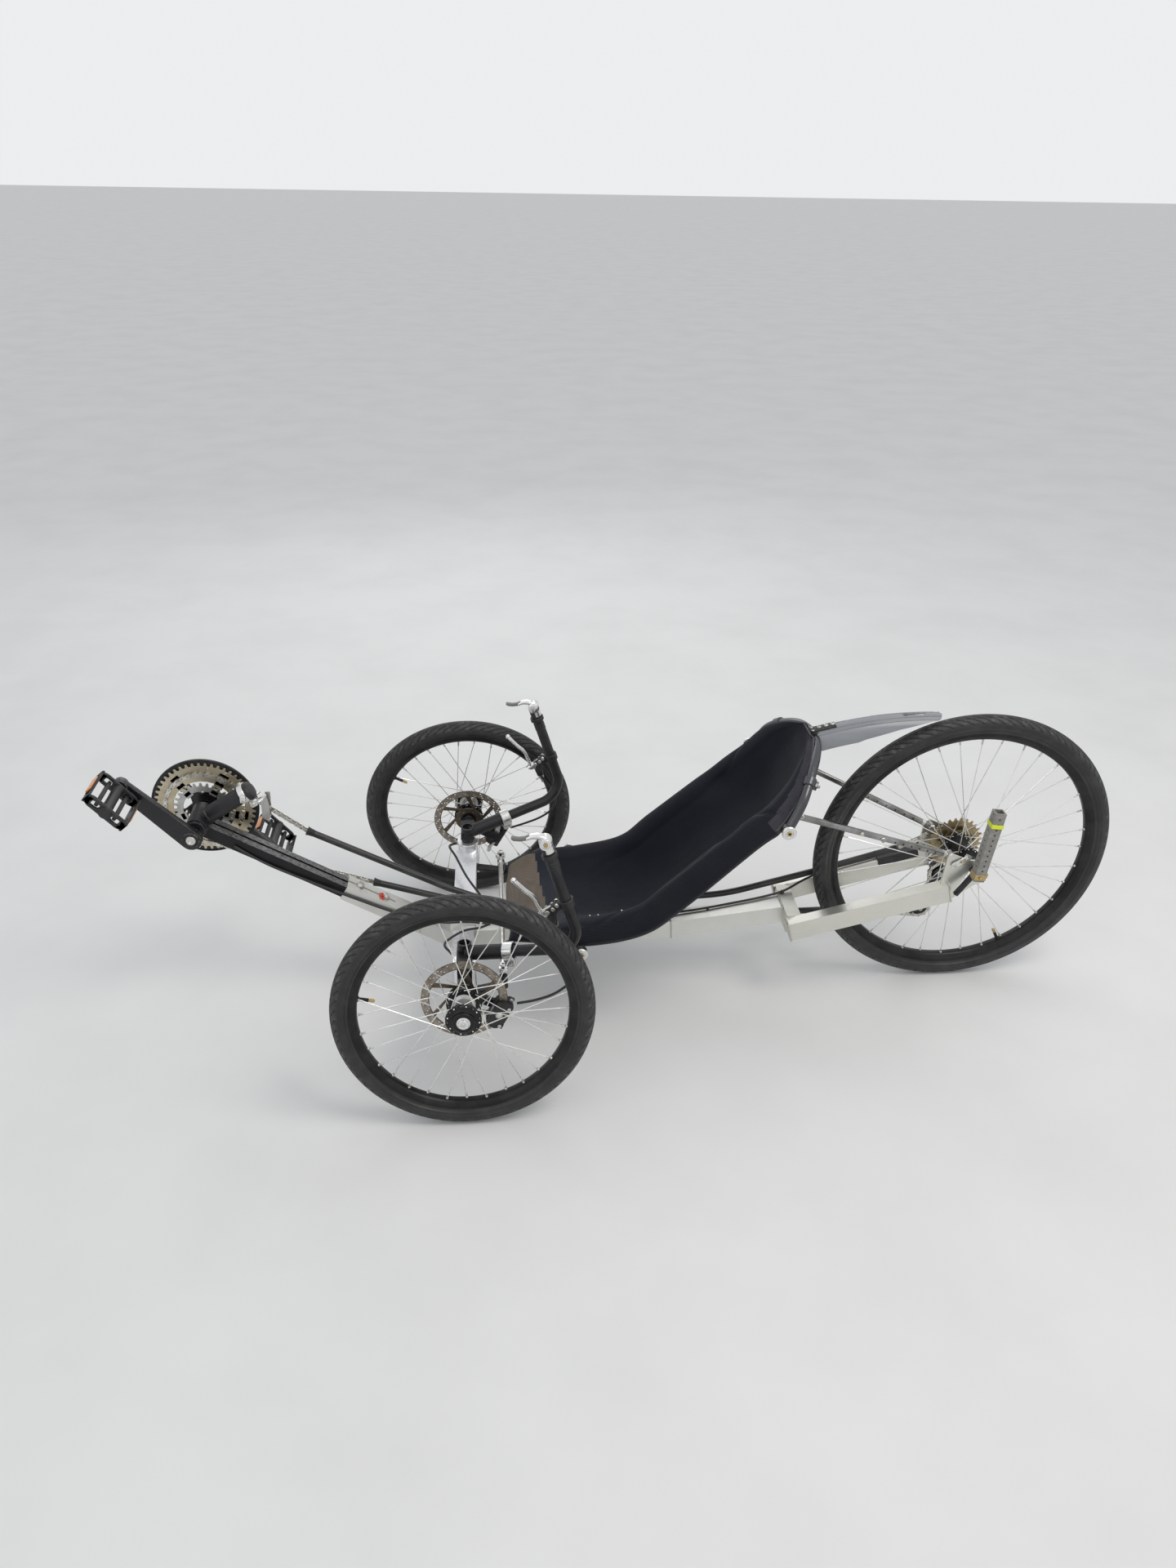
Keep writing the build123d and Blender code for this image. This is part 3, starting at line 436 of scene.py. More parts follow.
class Nodes:
    """A material's node tree, built a line at a time."""

    def __init__(self, name):
        self.material = bpy.data.materials.new(name)
        self.material.use_nodes = True
        self.tree = self.material.node_tree
        self.tree.nodes.clear()
        self.shader = self.tree.nodes.new("ShaderNodeBsdfPrincipled")
        self.make("OutputMaterial", {0: Socket(self, self.shader)}, None)
        self.place = self.make("TexCoord", {}, "Object")

    def make(self, kind, inputs, output=0, **settings):
        """A node with its settings and inputs, as the socket of one of its outputs."""
        node = self.tree.nodes.new("ShaderNode" + kind)
        for key, value in settings.items():
            setattr(node, key, value)
        for key, value in inputs.items():
            self.put(node.inputs[key], value)
        return None if output is None else Socket(self, node, output)

    def put(self, socket, value):
        """Link a socket to another one, or give it a number or a colour."""
        if isinstance(value, Socket):
            self.tree.links.new(value.socket, socket)
        elif value is not None:
            socket.default_value = (*value, 1) if socket.type == "RGBA" else value

    def stretched(self, scale):
        """Object coordinates scaled along each axis."""
        return self.make("Mapping", {"Vector": self.place, "Scale": scale})

    def noise(self, scale, detail, rough=0.55, where=None):
        return self.make("TexNoise", {"Vector": where or self.place, "Scale": scale,
                                      "Detail": detail, "Roughness": rough}, "Fac")

    def cells(self, scale, where, wild):
        return self.make("TexVoronoi", {"Vector": where, "Scale": scale, "Randomness": wild},
                         "Distance")

    def waves(self, scale, where, distort=0.0):
        return self.make("TexWave", {"Vector": where, "Scale": scale, "Distortion": distort},
                         "Fac", bands_direction="Z")

    def ramp(self, value, low, high, a=0.0, b=1.0):
        """A value mapped from low..high to a..b, held at the ends."""
        return self.make("MapRange", {"Value": value, "From Min": low, "From Max": high,
                                      "To Min": a, "To Max": b})

    def level(self, fine, low, high, stain, more):
        """A roughness from low to high with a fine noise, and more where it is stained."""
        return self.ramp(fine, 0.3, 0.7, low, high) + stain * more

    def math(self, what, *values):
        return self.make("Math", dict(enumerate(values)), operation=what)

    def mix(self, amount, a, b):
        """Colours a and b mixed by amount."""
        return self.make("Mix", {"Factor": amount, 6: a, 7: b}, 2, data_type="RGBA")

    def dot(self, a, b):
        return self.make("VectorMath", {0: a, 1: b}, "Value", operation="DOT_PRODUCT")

    def edges(self, width):
        """1 along sharp edges: where a rounded normal leaves the true one."""
        rounded = self.make("Bevel", {"Radius": width}, samples=4)
        return self.ramp(self.dot(rounded, self.make("NewGeometry", {}, "Normal")), 0.98, 0.8)

    def polar(self):
        """The turn round local Z in radians, the distance from it in metres, and the height."""
        x = self.make("SeparateXYZ", {0: self.place})
        y = x.other(1)
        return self.math("ARCTAN2", y, x), self.math("SQRT", x * x + y * y), x.other(2)

    def bump(self, height, strength, distance, after=None):
        return self.make("Bump", {"Strength": strength, "Distance": distance, "Height": height,
                                  "Normal": after})

    def finish(self, color, rough, metal, normal=None, **sockets):
        sockets.update({"Base Color": color, "Roughness": rough, "Metallic": metal,
                        "Normal": normal})
        for key, value in sockets.items():
            self.put(self.shader.inputs[key], value)
        return self.material


def alloy(name, base, dull, rough, grain=(60, 900, 900), metal=0.85, scratches=0.10):
    """Bare aluminium: a fine grain along one axis, soft stains and a few scratches."""
    n = Nodes(name)
    stain = n.ramp(n.noise(7, 4), 0.42, 0.68)
    fine = n.noise(1, 3, where=n.stretched(grain))
    speck = n.ramp(n.noise(420, 2), 0.66, 0.74)
    scratch = n.ramp(n.noise(1, 1, where=n.stretched((12, 500, 260))), 0.60, 0.64)
    color = n.mix(speck * 0.25, n.mix(stain * 0.5, base, dull), (0.30, 0.28, 0.25))
    return n.finish(color, n.level(fine, rough - 0.07, rough + 0.09, stain, 0.08), metal,
                    n.bump(fine + scratch * 0.8, scratches, 0.0003))


def black(name, base, grey, rough, worn=0.0, dust=0.35, metal=0.0, edge=0.0012, scale=1.0,
          shine=0.35, scratched_and_lit_facing=None):
    """Black finish with dust and fine texture. Where worn, its edges are pale grey: partly bare
    metal from wear, partly a painted highlight. The last argument is the way that the faces look
    which are streaked with grey: scratches, and a painted reflection on them."""
    n = Nodes(name)
    cloud = n.ramp(n.noise(16 * scale, 5), 0.40, 0.72)
    fine = n.noise(700 * scale, 2)
    color = n.mix(cloud * dust, base, grey)
    level = n.level(fine, rough - 0.05, rough + 0.07, cloud, 0.12)
    if worn:
        # pale grey along sharp edges: partly wear, partly a painted highlight
        edge_wear_and_highlight = n.edges(edge) * n.ramp(n.noise(130, 4), 0.40, 0.62) * worn
        color = n.mix(edge_wear_and_highlight, color, (0.62, 0.62, 0.60))
        level = level - edge_wear_and_highlight * 0.1
    if scratched_and_lit_facing:
        # faces turned this way are streaked grey: scratches, and a painted reflection of the light
        facing = n.ramp(n.dot(n.place.other("Normal"), scratched_and_lit_facing), 0.86, 0.95)
        streak = n.ramp(n.noise(1, 5, where=n.stretched((30, 500, 300))), 0.34, 0.60)
        color = n.mix(facing * streak * 0.8, color, (0.30, 0.295, 0.30))
    return n.finish(color, level, metal, n.bump(fine, 0.06, 0.0002),
                    **{"Specular IOR Level": shine})


def steel(name, base, spot, rough, spots, scale=1.0):
    """Bright or oily steel with small darker spots."""
    n = Nodes(name)
    cloud = n.ramp(n.noise(60 * scale, 4), 0.46, 0.66)
    fine = n.noise(900, 2)
    return n.finish(n.mix(cloud * spots, base, spot),
                    n.level(fine, rough - 0.05, rough + 0.06, cloud, 0.14), 0.9,
                    n.bump(fine, 0.05, 0.0002))


def plastic(name, base, scuff, rough, amount, scale=40, coat=0.0, stretch=(1, 1, 1)):
    """Moulded plastic with scuffs and a faint orange peel."""
    n = Nodes(name)
    cloud = n.ramp(n.noise(scale, 5, where=n.stretched(stretch)), 0.46, 0.66)
    fine = n.noise(500, 2)
    return n.finish(n.mix(cloud * amount, base, scuff),
                    n.level(fine, rough - 0.04, rough + 0.05, cloud, 0.15), 0.0,
                    n.bump(fine, 0.05, 0.0003), **{"Coat Weight": coat})


def tyre_rubber(name, radius):
    """Black rubber with a moulded slick tread, a greyer sidewall and road dust; the crown's lighter
    scuffed colour is partly a painted sheen, and its cuts are painted dark as painted shade.
    """
    n = Nodes(name)
    angle, reach, height = n.polar()
    across = n.math("ABSOLUTE", height)
    top = n.ramp(reach, radius - 0.016, radius - 0.011)
    cut_spacing, cut_slant = 0.022, 125.0
    cuts = round(radius * 2 * pi / cut_spacing)
    saw = n.math("FRACT", angle * (cuts / (2 * pi)) + across * cut_slant)
    cut = n.ramp(n.math("ABSOLUTE", saw - 0.5), 0.33, 0.44)
    cut = cut * (n.ramp(across, 0.0045, 0.0058) * top)
    dust = n.ramp(n.noise(34, 5), 0.42, 0.7) * 0.75
    scuff = n.ramp(n.noise(1, 4, where=n.stretched((90, 90, 14))), 0.50, 0.72)
    grain = n.noise(1500, 2)
    side = n.mix(dust, (0.011, 0.011, 0.012), (0.034, 0.033, 0.031))
    # the crown's lighter colour: partly scuffs, partly a painted sheen
    crown = n.mix(scuff * 0.8, (0.030, 0.030, 0.031), (0.105, 0.103, 0.100))
    # the cuts are painted near black: painted shade in the grooves
    color = n.mix(cut, n.mix(top, side, crown), (0.005, 0.005, 0.005))
    grooves = n.bump(cut * -1.0, 0.9, 0.0012)
    ribs = n.bump(n.waves(110, n.place) * (1.0 - top), 0.25, 0.0006, grooves)
    return n.finish(color, n.level(grain, 0.36, 0.48, top, 0.14), 0.0,
                    n.bump(grain, 0.12, 0.0003, ribs))


def mesh_cloth(name, base, light, scale=480.0, hole=0.5, fade=0.0, warm=None, ribs=0,
               rough=(0.78, 0.92)):
    """Knitted spacer mesh: rows of small open cells, painted dark inside as painted shade, with
    dust and a little sheen.
    """
    n = Nodes(name)
    pit = n.ramp(n.cells(scale, n.stretched((1.0, 1.15, 1.0)), 0.25), 0.18, 0.42, 1.0, 0.0)
    fuzz = n.noise(1700, 2)
    color = n.mix(n.ramp(n.noise(9, 5, 0.6), 0.42, 0.70) * 0.55, base, light)
    if fade:
        color = n.mix(n.ramp(n.noise(14, 5, 0.65), 0.35, 0.65) * fade, color, warm)
    # the open cells are painted near black: painted shade in the pits, as much as hole says
    color = n.mix(pit * hole, color, (0.004, 0.004, 0.005))
    folds = n.bump(n.noise(26, 2), 0.16, 0.004)
    if ribs:
        folds = n.bump(n.waves(ribs / 6.28, n.stretched((0.6, 0.25, 1.0)), 1.2), 0.35, 0.0012,
                       folds)
    return n.finish(color, n.ramp(fuzz, 0.3, 0.7, *rough), 0.0,
                    n.bump(pit * -1.0 + fuzz * 0.35, 0.5, 0.0006, folds),
                    **{"Sheen Weight": 0.08, "Sheen Roughness": 0.45, "Specular IOR Level": 0.22})


def reflector(name):
    """An orange reflector's moulded prisms under a clear face."""
    n = Nodes(name)
    facet = n.ramp(n.cells(520, n.place, 0.0), 0.1, 0.55)
    grime = n.ramp(n.noise(160, 4), 0.52, 0.70)
    color = n.mix(facet * 0.6, (0.95, 0.33, 0.012), (0.70, 0.15, 0.006))
    color = n.mix(grime * 0.3, color, (0.45, 0.30, 0.18))
    return n.finish(color, n.ramp(grime, 0, 1, 0.16, 0.4), 0.0, n.bump(facet, 0.25, 0.0005),
                    **{"Coat Weight": 0.25})


def rotor_steel(name):
    """A brake disc: brown-tinted arms and a brighter swept band."""
    n = Nodes(name)
    reach = n.polar()[1]
    band = n.ramp(reach, 0.0655, 0.0665) * n.ramp(reach, 0.0790, 0.0797, 1.0, 0.0)
    rings = n.noise(1, 3, where=n.stretched((14, 14, 1)))
    rust = n.ramp(n.noise(90, 5), 0.40, 0.68)
    arms = n.mix(rust, (0.15, 0.125, 0.095), (0.085, 0.062, 0.045))
    swept = n.mix(rust * 0.8, (0.36, 0.325, 0.28), (0.19, 0.14, 0.10))
    return n.finish(n.mix(band, arms, swept), n.level(rings, 0.34, 0.46, rust, 0.12), 0.85,
                    n.bump(n.math("SINE", reach * 9000.0), 0.05, 0.0002))


def strut_steel(name):
    """Brushed and stained tube."""
    n = Nodes(name)
    fine = n.noise(1, 3, where=n.stretched((40, 1200, 1200)))
    stain = n.ramp(n.noise(24, 5), 0.38, 0.68)
    return n.finish(n.mix(stain, (0.36, 0.36, 0.355), (0.17, 0.165, 0.155)),
                    n.level(fine, 0.16, 0.25, stain, 0.12), 1.0, n.bump(fine, 0.08, 0.0003))


M_FRAME = alloy("bare_frame_alloy", (0.77, 0.768, 0.735), (0.63, 0.62, 0.565), 0.36)
M_STAY = alloy("bare_stay_alloy", (0.72, 0.715, 0.66), (0.57, 0.56, 0.485), 0.34, (50, 900, 900))
M_ARM = alloy("bright_arm_alloy", (0.82, 0.825, 0.85), (0.68, 0.68, 0.70), 0.30, (900, 70, 900))
M_PART = alloy("polished_part", (0.78, 0.78, 0.77), (0.60, 0.59, 0.56), 0.24, (300, 300, 300),
               0.9, 0.05)
M_WELD = alloy("weld_bead", (0.58, 0.57, 0.54), (0.42, 0.40, 0.36), 0.42, (400, 400, 400))
M_HOOP = alloy("satin_grey_tube", (0.105, 0.108, 0.115), (0.055, 0.056, 0.060), 0.22,
               (90, 90, 900))
M_PAINT = black("black_paint", (0.014, 0.014, 0.016), (0.045, 0.045, 0.047), 0.38, 0.35, 0.45)
M_BAR = black("black_bar_paint", (0.016, 0.016, 0.018), (0.055, 0.055, 0.056), 0.40, 0.25, 0.6)
# the boom's top faces get grey streaks: scratches and a painted reflection
M_BOOM = black("black_extrusion", (0.010, 0.010, 0.012), (0.030, 0.030, 0.031), 0.36, 0.85, 0.5,
               0.3, 0.0016, scratched_and_lit_facing=(-0.51, 0, 0.86))
# the crank's pale edges are partly a painted highlight
M_CRANK = black("black_forging", (0.010, 0.010, 0.012), (0.028, 0.028, 0.030), 0.20, 0.6, 0.3,
                edge=0.0014, shine=0.45)
M_RIM = black("black_rim", (0.011, 0.011, 0.012), (0.040, 0.039, 0.037), 0.30, dust=0.7,
              metal=0.35, scale=1.4)
M_HUB = black("black_hub", (0.011, 0.011, 0.012), (0.030, 0.030, 0.030), 0.27, 0.25, 0.4, 0.3)
M_SPOKE = steel("spoke_steel", (0.80, 0.80, 0.78), (0.50, 0.46, 0.40), 0.24, 0.3)
M_STEEL = steel("bolt_steel", (0.68, 0.67, 0.64), (0.42, 0.36, 0.28), 0.30, 0.45)
M_CHAIN = steel("oily_chain", (0.50, 0.48, 0.43), (0.15, 0.12, 0.085), 0.36, 0.75, 3)
M_RING_OUT = steel("tan_ring_steel", (0.56, 0.50, 0.38), (0.40, 0.33, 0.22), 0.34, 0.6, 0.5)
M_RING_MID = steel("worn_ring_steel", (0.58, 0.52, 0.38), (0.42, 0.34, 0.22), 0.33, 0.6, 0.5)
M_RING_IN = steel("grey_ring_steel", (0.50, 0.50, 0.48), (0.33, 0.31, 0.28), 0.36, 0.6, 0.5)
M_CASSETTE = steel("brown_sprocket_steel", (0.44, 0.36, 0.22), (0.24, 0.17, 0.09), 0.38, 0.8, 0.8)
M_BRASS = steel("valve_brass", (0.50, 0.38, 0.18), (0.30, 0.22, 0.12), 0.30, 0.4)
M_ROTOR, M_STRUT = rotor_steel("disc_steel"), strut_steel("strut_steel")
M_TYRE_F = tyre_rubber("front_tyre_rubber", FRONT_R / 1000)
M_TYRE_R = tyre_rubber("rear_tyre_rubber", REAR_R / 1000)
M_CLOTH = mesh_cloth("black_spacer_mesh", (0.0075, 0.0085, 0.0145), (0.015, 0.016, 0.023))
M_CLOTH_EDGE = mesh_cloth("grey_spacer_mesh", (0.034, 0.033, 0.042), (0.085, 0.081, 0.096),
                          420.0, 0.85)
M_FLAP = mesh_cloth("faded_flap_mesh", (0.115, 0.095, 0.080), (0.17, 0.145, 0.122), 420.0, 0.4,
                    0.6, (0.20, 0.165, 0.13))
M_SIDE = mesh_cloth("ribbed_side_mesh", (0.009, 0.010, 0.015), (0.019, 0.020, 0.026), 520.0, 0.35,
                    ribs=520)
M_FOLD = mesh_cloth("blue_black_fold", (0.006, 0.008, 0.017), (0.022, 0.026, 0.045), 700.0, 0.2,
                    rough=(0.42, 0.55))
M_PIPING = mesh_cloth("grey_piping", (0.085, 0.086, 0.092), (0.16, 0.16, 0.165), 900.0, 0.2)
# a near-black plug for the socket tube's bore: painted shade
M_BORE_SHADE = plastic("tube_bore_painted_shade", (0.004, 0.004, 0.004), (0.012, 0.011, 0.010), 0.7, 0.4)
M_PLASTIC = plastic("black_moulding", (0.016, 0.016, 0.017), (0.060, 0.058, 0.055), 0.46, 0.45)
M_CABLE = plastic("cable_casing", (0.012, 0.012, 0.013), (0.05, 0.05, 0.05), 0.40, 0.4)
M_SHIFT = plastic("grey_lever_rubber", (0.16, 0.155, 0.145), (0.26, 0.25, 0.235), 0.4, 0.5)
M_TUBE = plastic("chain_tube_plastic", (0.018, 0.018, 0.019), (0.075, 0.072, 0.066), 0.34, 0.5,
                 stretch=(0.3, 1, 1))
M_FENDER = plastic("silver_grey_plastic", (0.245, 0.255, 0.275), (0.36, 0.37, 0.385), 0.30, 0.55,
                   12, 0.15, (0.35, 2.2, 2.2))
M_CLEAR = plastic("smoky_tube_plastic", (0.235, 0.225, 0.205), (0.36, 0.345, 0.31), 0.34, 0.7,
                  60, 0.2)
M_BAND = plastic("yellow_rubber_band", (0.74, 0.86, 0.03), (0.55, 0.62, 0.05), 0.5, 0.4)
M_RED = plastic("red_paint_dab", (0.62, 0.055, 0.03), (0.40, 0.05, 0.03), 0.5, 0.5, 300)
M_AMBER = reflector("orange_reflector")


def wheel_place(side):
    """The place of a front wheel, local Z outboard; 0 is the rear wheel, Z to the left."""
    if side == 0:
        return aim((REAR_X, 0, REAR_R), LEFT)
    return aim((0, side * HUB_Y, HUB_Z), (0, side * cos(CAMBER), sin(CAMBER)))


def tyre_profile(outer, section, rim):
    """Half round crown with fine grooves, ribbed sidewalls and the bead, as radius and height."""
    mid = outer - section
    # columns: degrees from the crown, how far the surface stands out in mm
    table = ((0, 0), (6, 0), (8, -0.9), (10.5, -0.9), (12.5, -0.1), (22, -0.1), (24, -0.9),
             (26.5, -0.9), (28.5, -0.2), (44, -0.2), (56, -0.5), (60, -0.1), (64, -0.6),
             (78, -0.5), (92, -0.4), (95, 0.1), (98, -0.4), (108, -0.7), (114, -0.6), (117, -0.1),
             (120, -0.7), (128, -1.2))
    half = [(mid + (section + d) * cos(radians(t)), (section + d) * sin(radians(t)))
            for t, d in table]
    half.append((rim - 2, section - 6))
    return [(r, -z) for r, z in half[::-1]] + half[1:]


def rim_profile(outer, inner):
    """A box rim with bead hooks, a flat side wall and a rounded spoke bed."""
    w = 13.2
    half = ((outer - 7, 0), (outer - 6.5, 8.5), (outer + 0.8, 10.6), (outer + 1.4, 11.4),
            (outer + 1.2, w - 0.6), (outer + 0.4, w), (outer - 9, w - 0.2), (outer - 10.2, w - 1.2),
            (outer - 12, w - 1.8), (inner + 2.6, 9.0), (inner + 0.8, 6.4), (inner, 3.6), (inner, 0))
    return list(half) + [(r, -z) for r, z in half[::-1]][1:-1]


def spokes(count, hub_r, rim_r, flanges):
    """Spokes laced three cross, their heads on either side of the flanges, and their nipples."""
    s = Shape()
    lead = radians(3 * 360 / (count / 2))
    for i, angle in enumerate(angles(count)):
        sense = 1 if (i // 2) % 2 else -1
        foot = V(*polar(hub_r, angle + sense * lead), flanges[0 if i % 2 else 1] + sense * 1.6)
        end = V(*polar(rim_r, angle), 2.5 if i % 2 else -2.5)
        d = (end - foot).normalized()
        bent = foot + V(0, 0, -sense * 3.2)
        s.mark = 0
        s.tube((bent, foot - V(0, 0, sense * 0.6), foot + d * 1.6, end - d * 11), 1.0, 6)
        s.ball(bent - V(0, 0, sense * 0.2), 1.9, 8, 0.6)
        s.mark = 1
        s.rod(end - d * 13, end - d * 3, 1.9, 6, 0.3)
        s.rod(end - d * 4, end + d * 1, 2.6, 8, 0.3)
    return s


def valve(s, r, angle):
    """A tyre valve standing inward from the rim, its cap's tip bare brass."""
    d, foot = -V(*polar(1, angle), 0), V(*polar(r, angle), 0)
    for s.mark, start, end, radius, n in ((0, 0, 22, 3.4, 14), (0, 1, 4, 5.4, 14),
                                          (1, 21, 33, 2.7, 12), (1, 24, 31, 3.3, 10)):
        s.rod(foot + d * start, foot + d * end, radius, n)


def hub_flange(s, r, z, thick, count, hole_r, start):
    """A flange with a hole for each of its spokes, the first at start degrees."""
    holes = [hole_at(hole_r, a, 1.7) for a in angles(count, radians(start))]
    s.plate(ring_points(r, 48), thick, at(0, 0, z), [ring_points(13.0, 24)] + holes, 0.5)


def front_hub():
    """The front hub's flanges and shell, its grey middle and its end caps."""
    s = Shape()
    for z, start in zip(FRONT_FLANGES, (67.5, 78.75)):
        hub_flange(s, 33, z, 4.2, 16, 29, start)
    s.lathe(((30, 27), (24, 28.5), (21.5, 31), (21, 35.5), (19.5, 37), (13.5, 37), (13, 35),
             (12, 35)))
    s.lathe(((13.5, 23), (19, 22.2), (22, 23.6), (26, 23)))
    s.lathe(((26, -25), (21, -24), (17, -22)))
    s.lathe(((24, -29), (24.5, -31), (25, -40.5), (27, -41.8), (27, -42), (12, -42)))
    s.mark = 1
    s.lathe(((22, 23), (15.5, 19.5), (13.8, 15), (13.2, 0), (13.8, -16), (15.5, -20.5),
             (22, -24.5)))
    s.mark = 2
    s.lathe(((12.5, 34.6), (12.5, 37.6), (11.6, 38.4), (9.8, 38.4), (9.4, 41.2), (8.6, 42),
             (5.0, 42), (4.4, 41), (4.4, 38), (0, 38)))
    s.lathe(((9, -41), (9, -46), (0, -46)))
    return s


def rotor():
    """The disc: a drilled band on six swept arms, with a screw at the foot of each."""
    s = Shape()
    holes = [ring_points(17.5, 32)]
    sweep, lead, lag = radians(30), radians(8.5), radians(60 - 8.5)
    for a in angles(6):
        holes.append([polar(64.5, a + sweep + radians(5 + 50 * k / 8)) for k in range(9)]
                     + [polar(31, a + (lag - (lag - lead) * k / 4)) for k in range(5)])
        holes.append(hole_at(22, a, 2.4))
    for i, a in enumerate(angles(24)):
        holes += [hole_at(r, a + radians(3.6 * k), 1.75) for k, r in enumerate((68.0, 72.2, 76.4))
                  if k != 1 or i % 4 != 3]
    s.plate(ring_points(80, 120), 1.9, IDENTITY, holes, 0.15)
    s.mark = 1
    for a in angles(6):
        s.cap_screw(aim((*polar(22, a), -0.9), DOWN), 3.8, 2.6)
    return s


def front_wheels():
    """Both front wheels; the right one's spokes and valve are turned from the left one's."""
    hub, disc = front_hub(), rotor()
    rubber = Shape().lathe(tyre_profile(FRONT_R, FRONT_TYRE, FRONT_RIM), n=120)
    band = Shape().ring(rim_profile(FRONT_RIM, FRONT_BED), n=96)
    valve(band, FRONT_BED + 2, radians(-11))
    laced = spokes(32, 29, FRONT_BED + 1.5, FRONT_FLANGES)
    for side, word in SIDES:
        place = wheel_place(side)
        if side < 0:
            band, laced = Shape().join(band, turn(40)), Shape().join(laced, turn(40))
        body = word + "_wheel"
        piece("tyre_" + word, rubber, M_TYRE_F, body, "front_tyre_" + word, place,
              sharp=50)
        piece("rim_" + word, band, [M_RIM, M_BRASS], body, "front_wheel_" + word,
              place)
        piece("spokes_" + word, laced, [M_SPOKE, M_STEEL], body, (), place, sharp=50)
        piece("hub_" + word, hub, [M_HUB, M_RING_IN, M_PART], body, (), place)
        piece("disc_" + word, disc, [M_ROTOR, M_STEEL], body, "brake_rotor_" + word,
              place @ at(0, 0, ROTOR_AT) @ (turn(180, "X") if side < 0 else IDENTITY))


def rear_wheel():
    """The rear wheel with its hub, its sprockets apart."""
    place = wheel_place(0)
    rubber = Shape().lathe(tyre_profile(REAR_R, REAR_TYRE, REAR_RIM), n=144)
    piece("tyre_rear", rubber, M_TYRE_R, "rear_wheel", "rear_tyre", place, sharp=50)
    band = Shape().ring(rim_profile(REAR_RIM, REAR_BED), n=128)
    valve(band, REAR_BED + 2, radians(118))
    piece("rim_rear", band, [M_RIM, M_BRASS], "rear_wheel", "rear_wheel", place)
    piece("spokes_rear", spokes(36, 24, REAR_BED + 1.5, REAR_FLANGES), [M_SPOKE, M_STEEL],
          "rear_wheel", (), place, sharp=50)
    s = Shape()
    for z, start in zip(REAR_FLANGES, (60, 70)):
        hub_flange(s, 27.5, z, 3.6, 18, 24, start)
    s.lathe(((24, 36), (19, 38), (16, 44), (15.5, 56), (14, 58), (9, 58.5), (8.5, 62), (6, 62),
             (6, 58)))
    s.lathe(((26, 32), (19, 29), (17, 24), (16.2, 5), (17, -14), (19, -19), (26, -22)))
    s.lathe(((24, -26), (18, -30), (16.8, -33), (16.8, -62), (8, -62)))
    piece("hub_rear", s, M_HUB, "rear_wheel", (), place)


def sprocket(s, teeth, root, tip, thick, z, hole, windows, place=IDENTITY, shift=0.0):
    """A toothed ring about local Z, lightened by round-ended windows and turned by a share of a
    tooth."""
    outline = [polar(r, 2 * pi * (i + share + shift) / teeth) for i in range(teeth) for share, r
               in ((-0.30, root), (-0.13, tip), (0.13, tip), (0.30, root))]
    holes = [ring_points(hole, 32)]
    w = (root - hole) * 0.48
    holes += [slot_points(*polar((root + hole) / 2, a), w * 1.9, w, a + pi / 2, 4)
              for a in (angles(windows, pi / windows) if windows else ())]
    s.plate(outline, thick, place @ at(0, 0, z), holes, min(0.25, thick / 5))


def cassette():
    """Seven sprockets, the larger ones with windows, their spacers and the lock ring."""
    s = Shape()
    for i, teeth in enumerate((11, 13, 16, 19, 22, 25, 28)):
        z = -61.2 + 4.4 * i
        r = PITCH / (2 * sin(pi / teeth))
        sprocket(s, teeth, r - 3.2, r + 3.0, 1.9, z, 17.6, 6 if r > 40 else 0, shift=z * 0.07)
        s.lathe(((18, z + 1), (20.5, z + 1), (20.5, z + 3.4), (18, z + 3.4)), n=24)
    s.mark = 1
    s.lathe(((17.4, -62.3), (16.8, -64.2), (11.5, -64.4), (11, -63), (9, -63)), n=30)
    piece("sprockets", s, [M_CASSETTE, M_STEEL], "rear_wheel", "cassette",
          wheel_place(0))


# The chain: its plane, its pitch, the step of its line, and the routes of its two tubes as X, Z.
CHAIN_Y, PITCH, CHAIN_STEP = -48.0, 12.7, 2.0
UPPER = ((322, 382), (40, 231), (-70, 183), (-230, 180), (-560, 194), (-760, 248), (-931, 300))
LOWER = ((196, 252), (57, 208), (-20, 184), (-90, 166), (-260, 156), (-560, 147), (-700, 142),
         (-830, 144))
RING, SPROCKET, JOCKEY = 77.0, 38.0, 20
JOCKEY_LOW, JOCKEY_TOP = (-1008, 142), (-1036, 236)
CRANK_PLACE = aim((BB[0], 0, BB[1]), LEFT)
SPIDER = angles(5, radians(20))


def along(a, b, t):
    """The flat point at the share t of the way from a to b."""
    return a[0] + (b[0] - a[0]) * t, a[1] + (b[1] - a[1]) * t


def apart(a, b):
    return hypot(b[0] - a[0], b[1] - a[1])


def belt_points(items):
    """Points along the lines and arcs of a chain; each item is a place and a radius, with a
    minus for an arc that runs the other way round."""
    made, last = [], None
    for (ca, ra), (cb, rb) in zip(items, items[1:]):
        heading = atan2(cb[1] - ca[1], cb[0] - ca[0]) - asin((rb - ra) / apart(ca, cb))
        nx, nz = -sin(heading), cos(heading)
        pa, pb = (ca[0] - ra * nx, ca[1] - ra * nz), (cb[0] - rb * nx, cb[1] - rb * nz)
        if last:
            was, now = (atan2(p[1] - ca[1], p[0] - ca[0]) for p in (last, pa))
            if ra > 0 and now < was:
                now += 2 * pi
            if ra < 0 and now > was:
                now -= 2 * pi
            count = max(2, int(abs(ra * (now - was)) / CHAIN_STEP))
            for i in range(1, count):
                t = was + (now - was) * i / count
                made.append((ca[0] + abs(ra) * cos(t), ca[1] + abs(ra) * sin(t)))
        count = max(1, int(apart(pa, pb) / CHAIN_STEP))
        made += [along(pa, pb, i / count) for i in range(count + 1)]
        last = pb
    return made


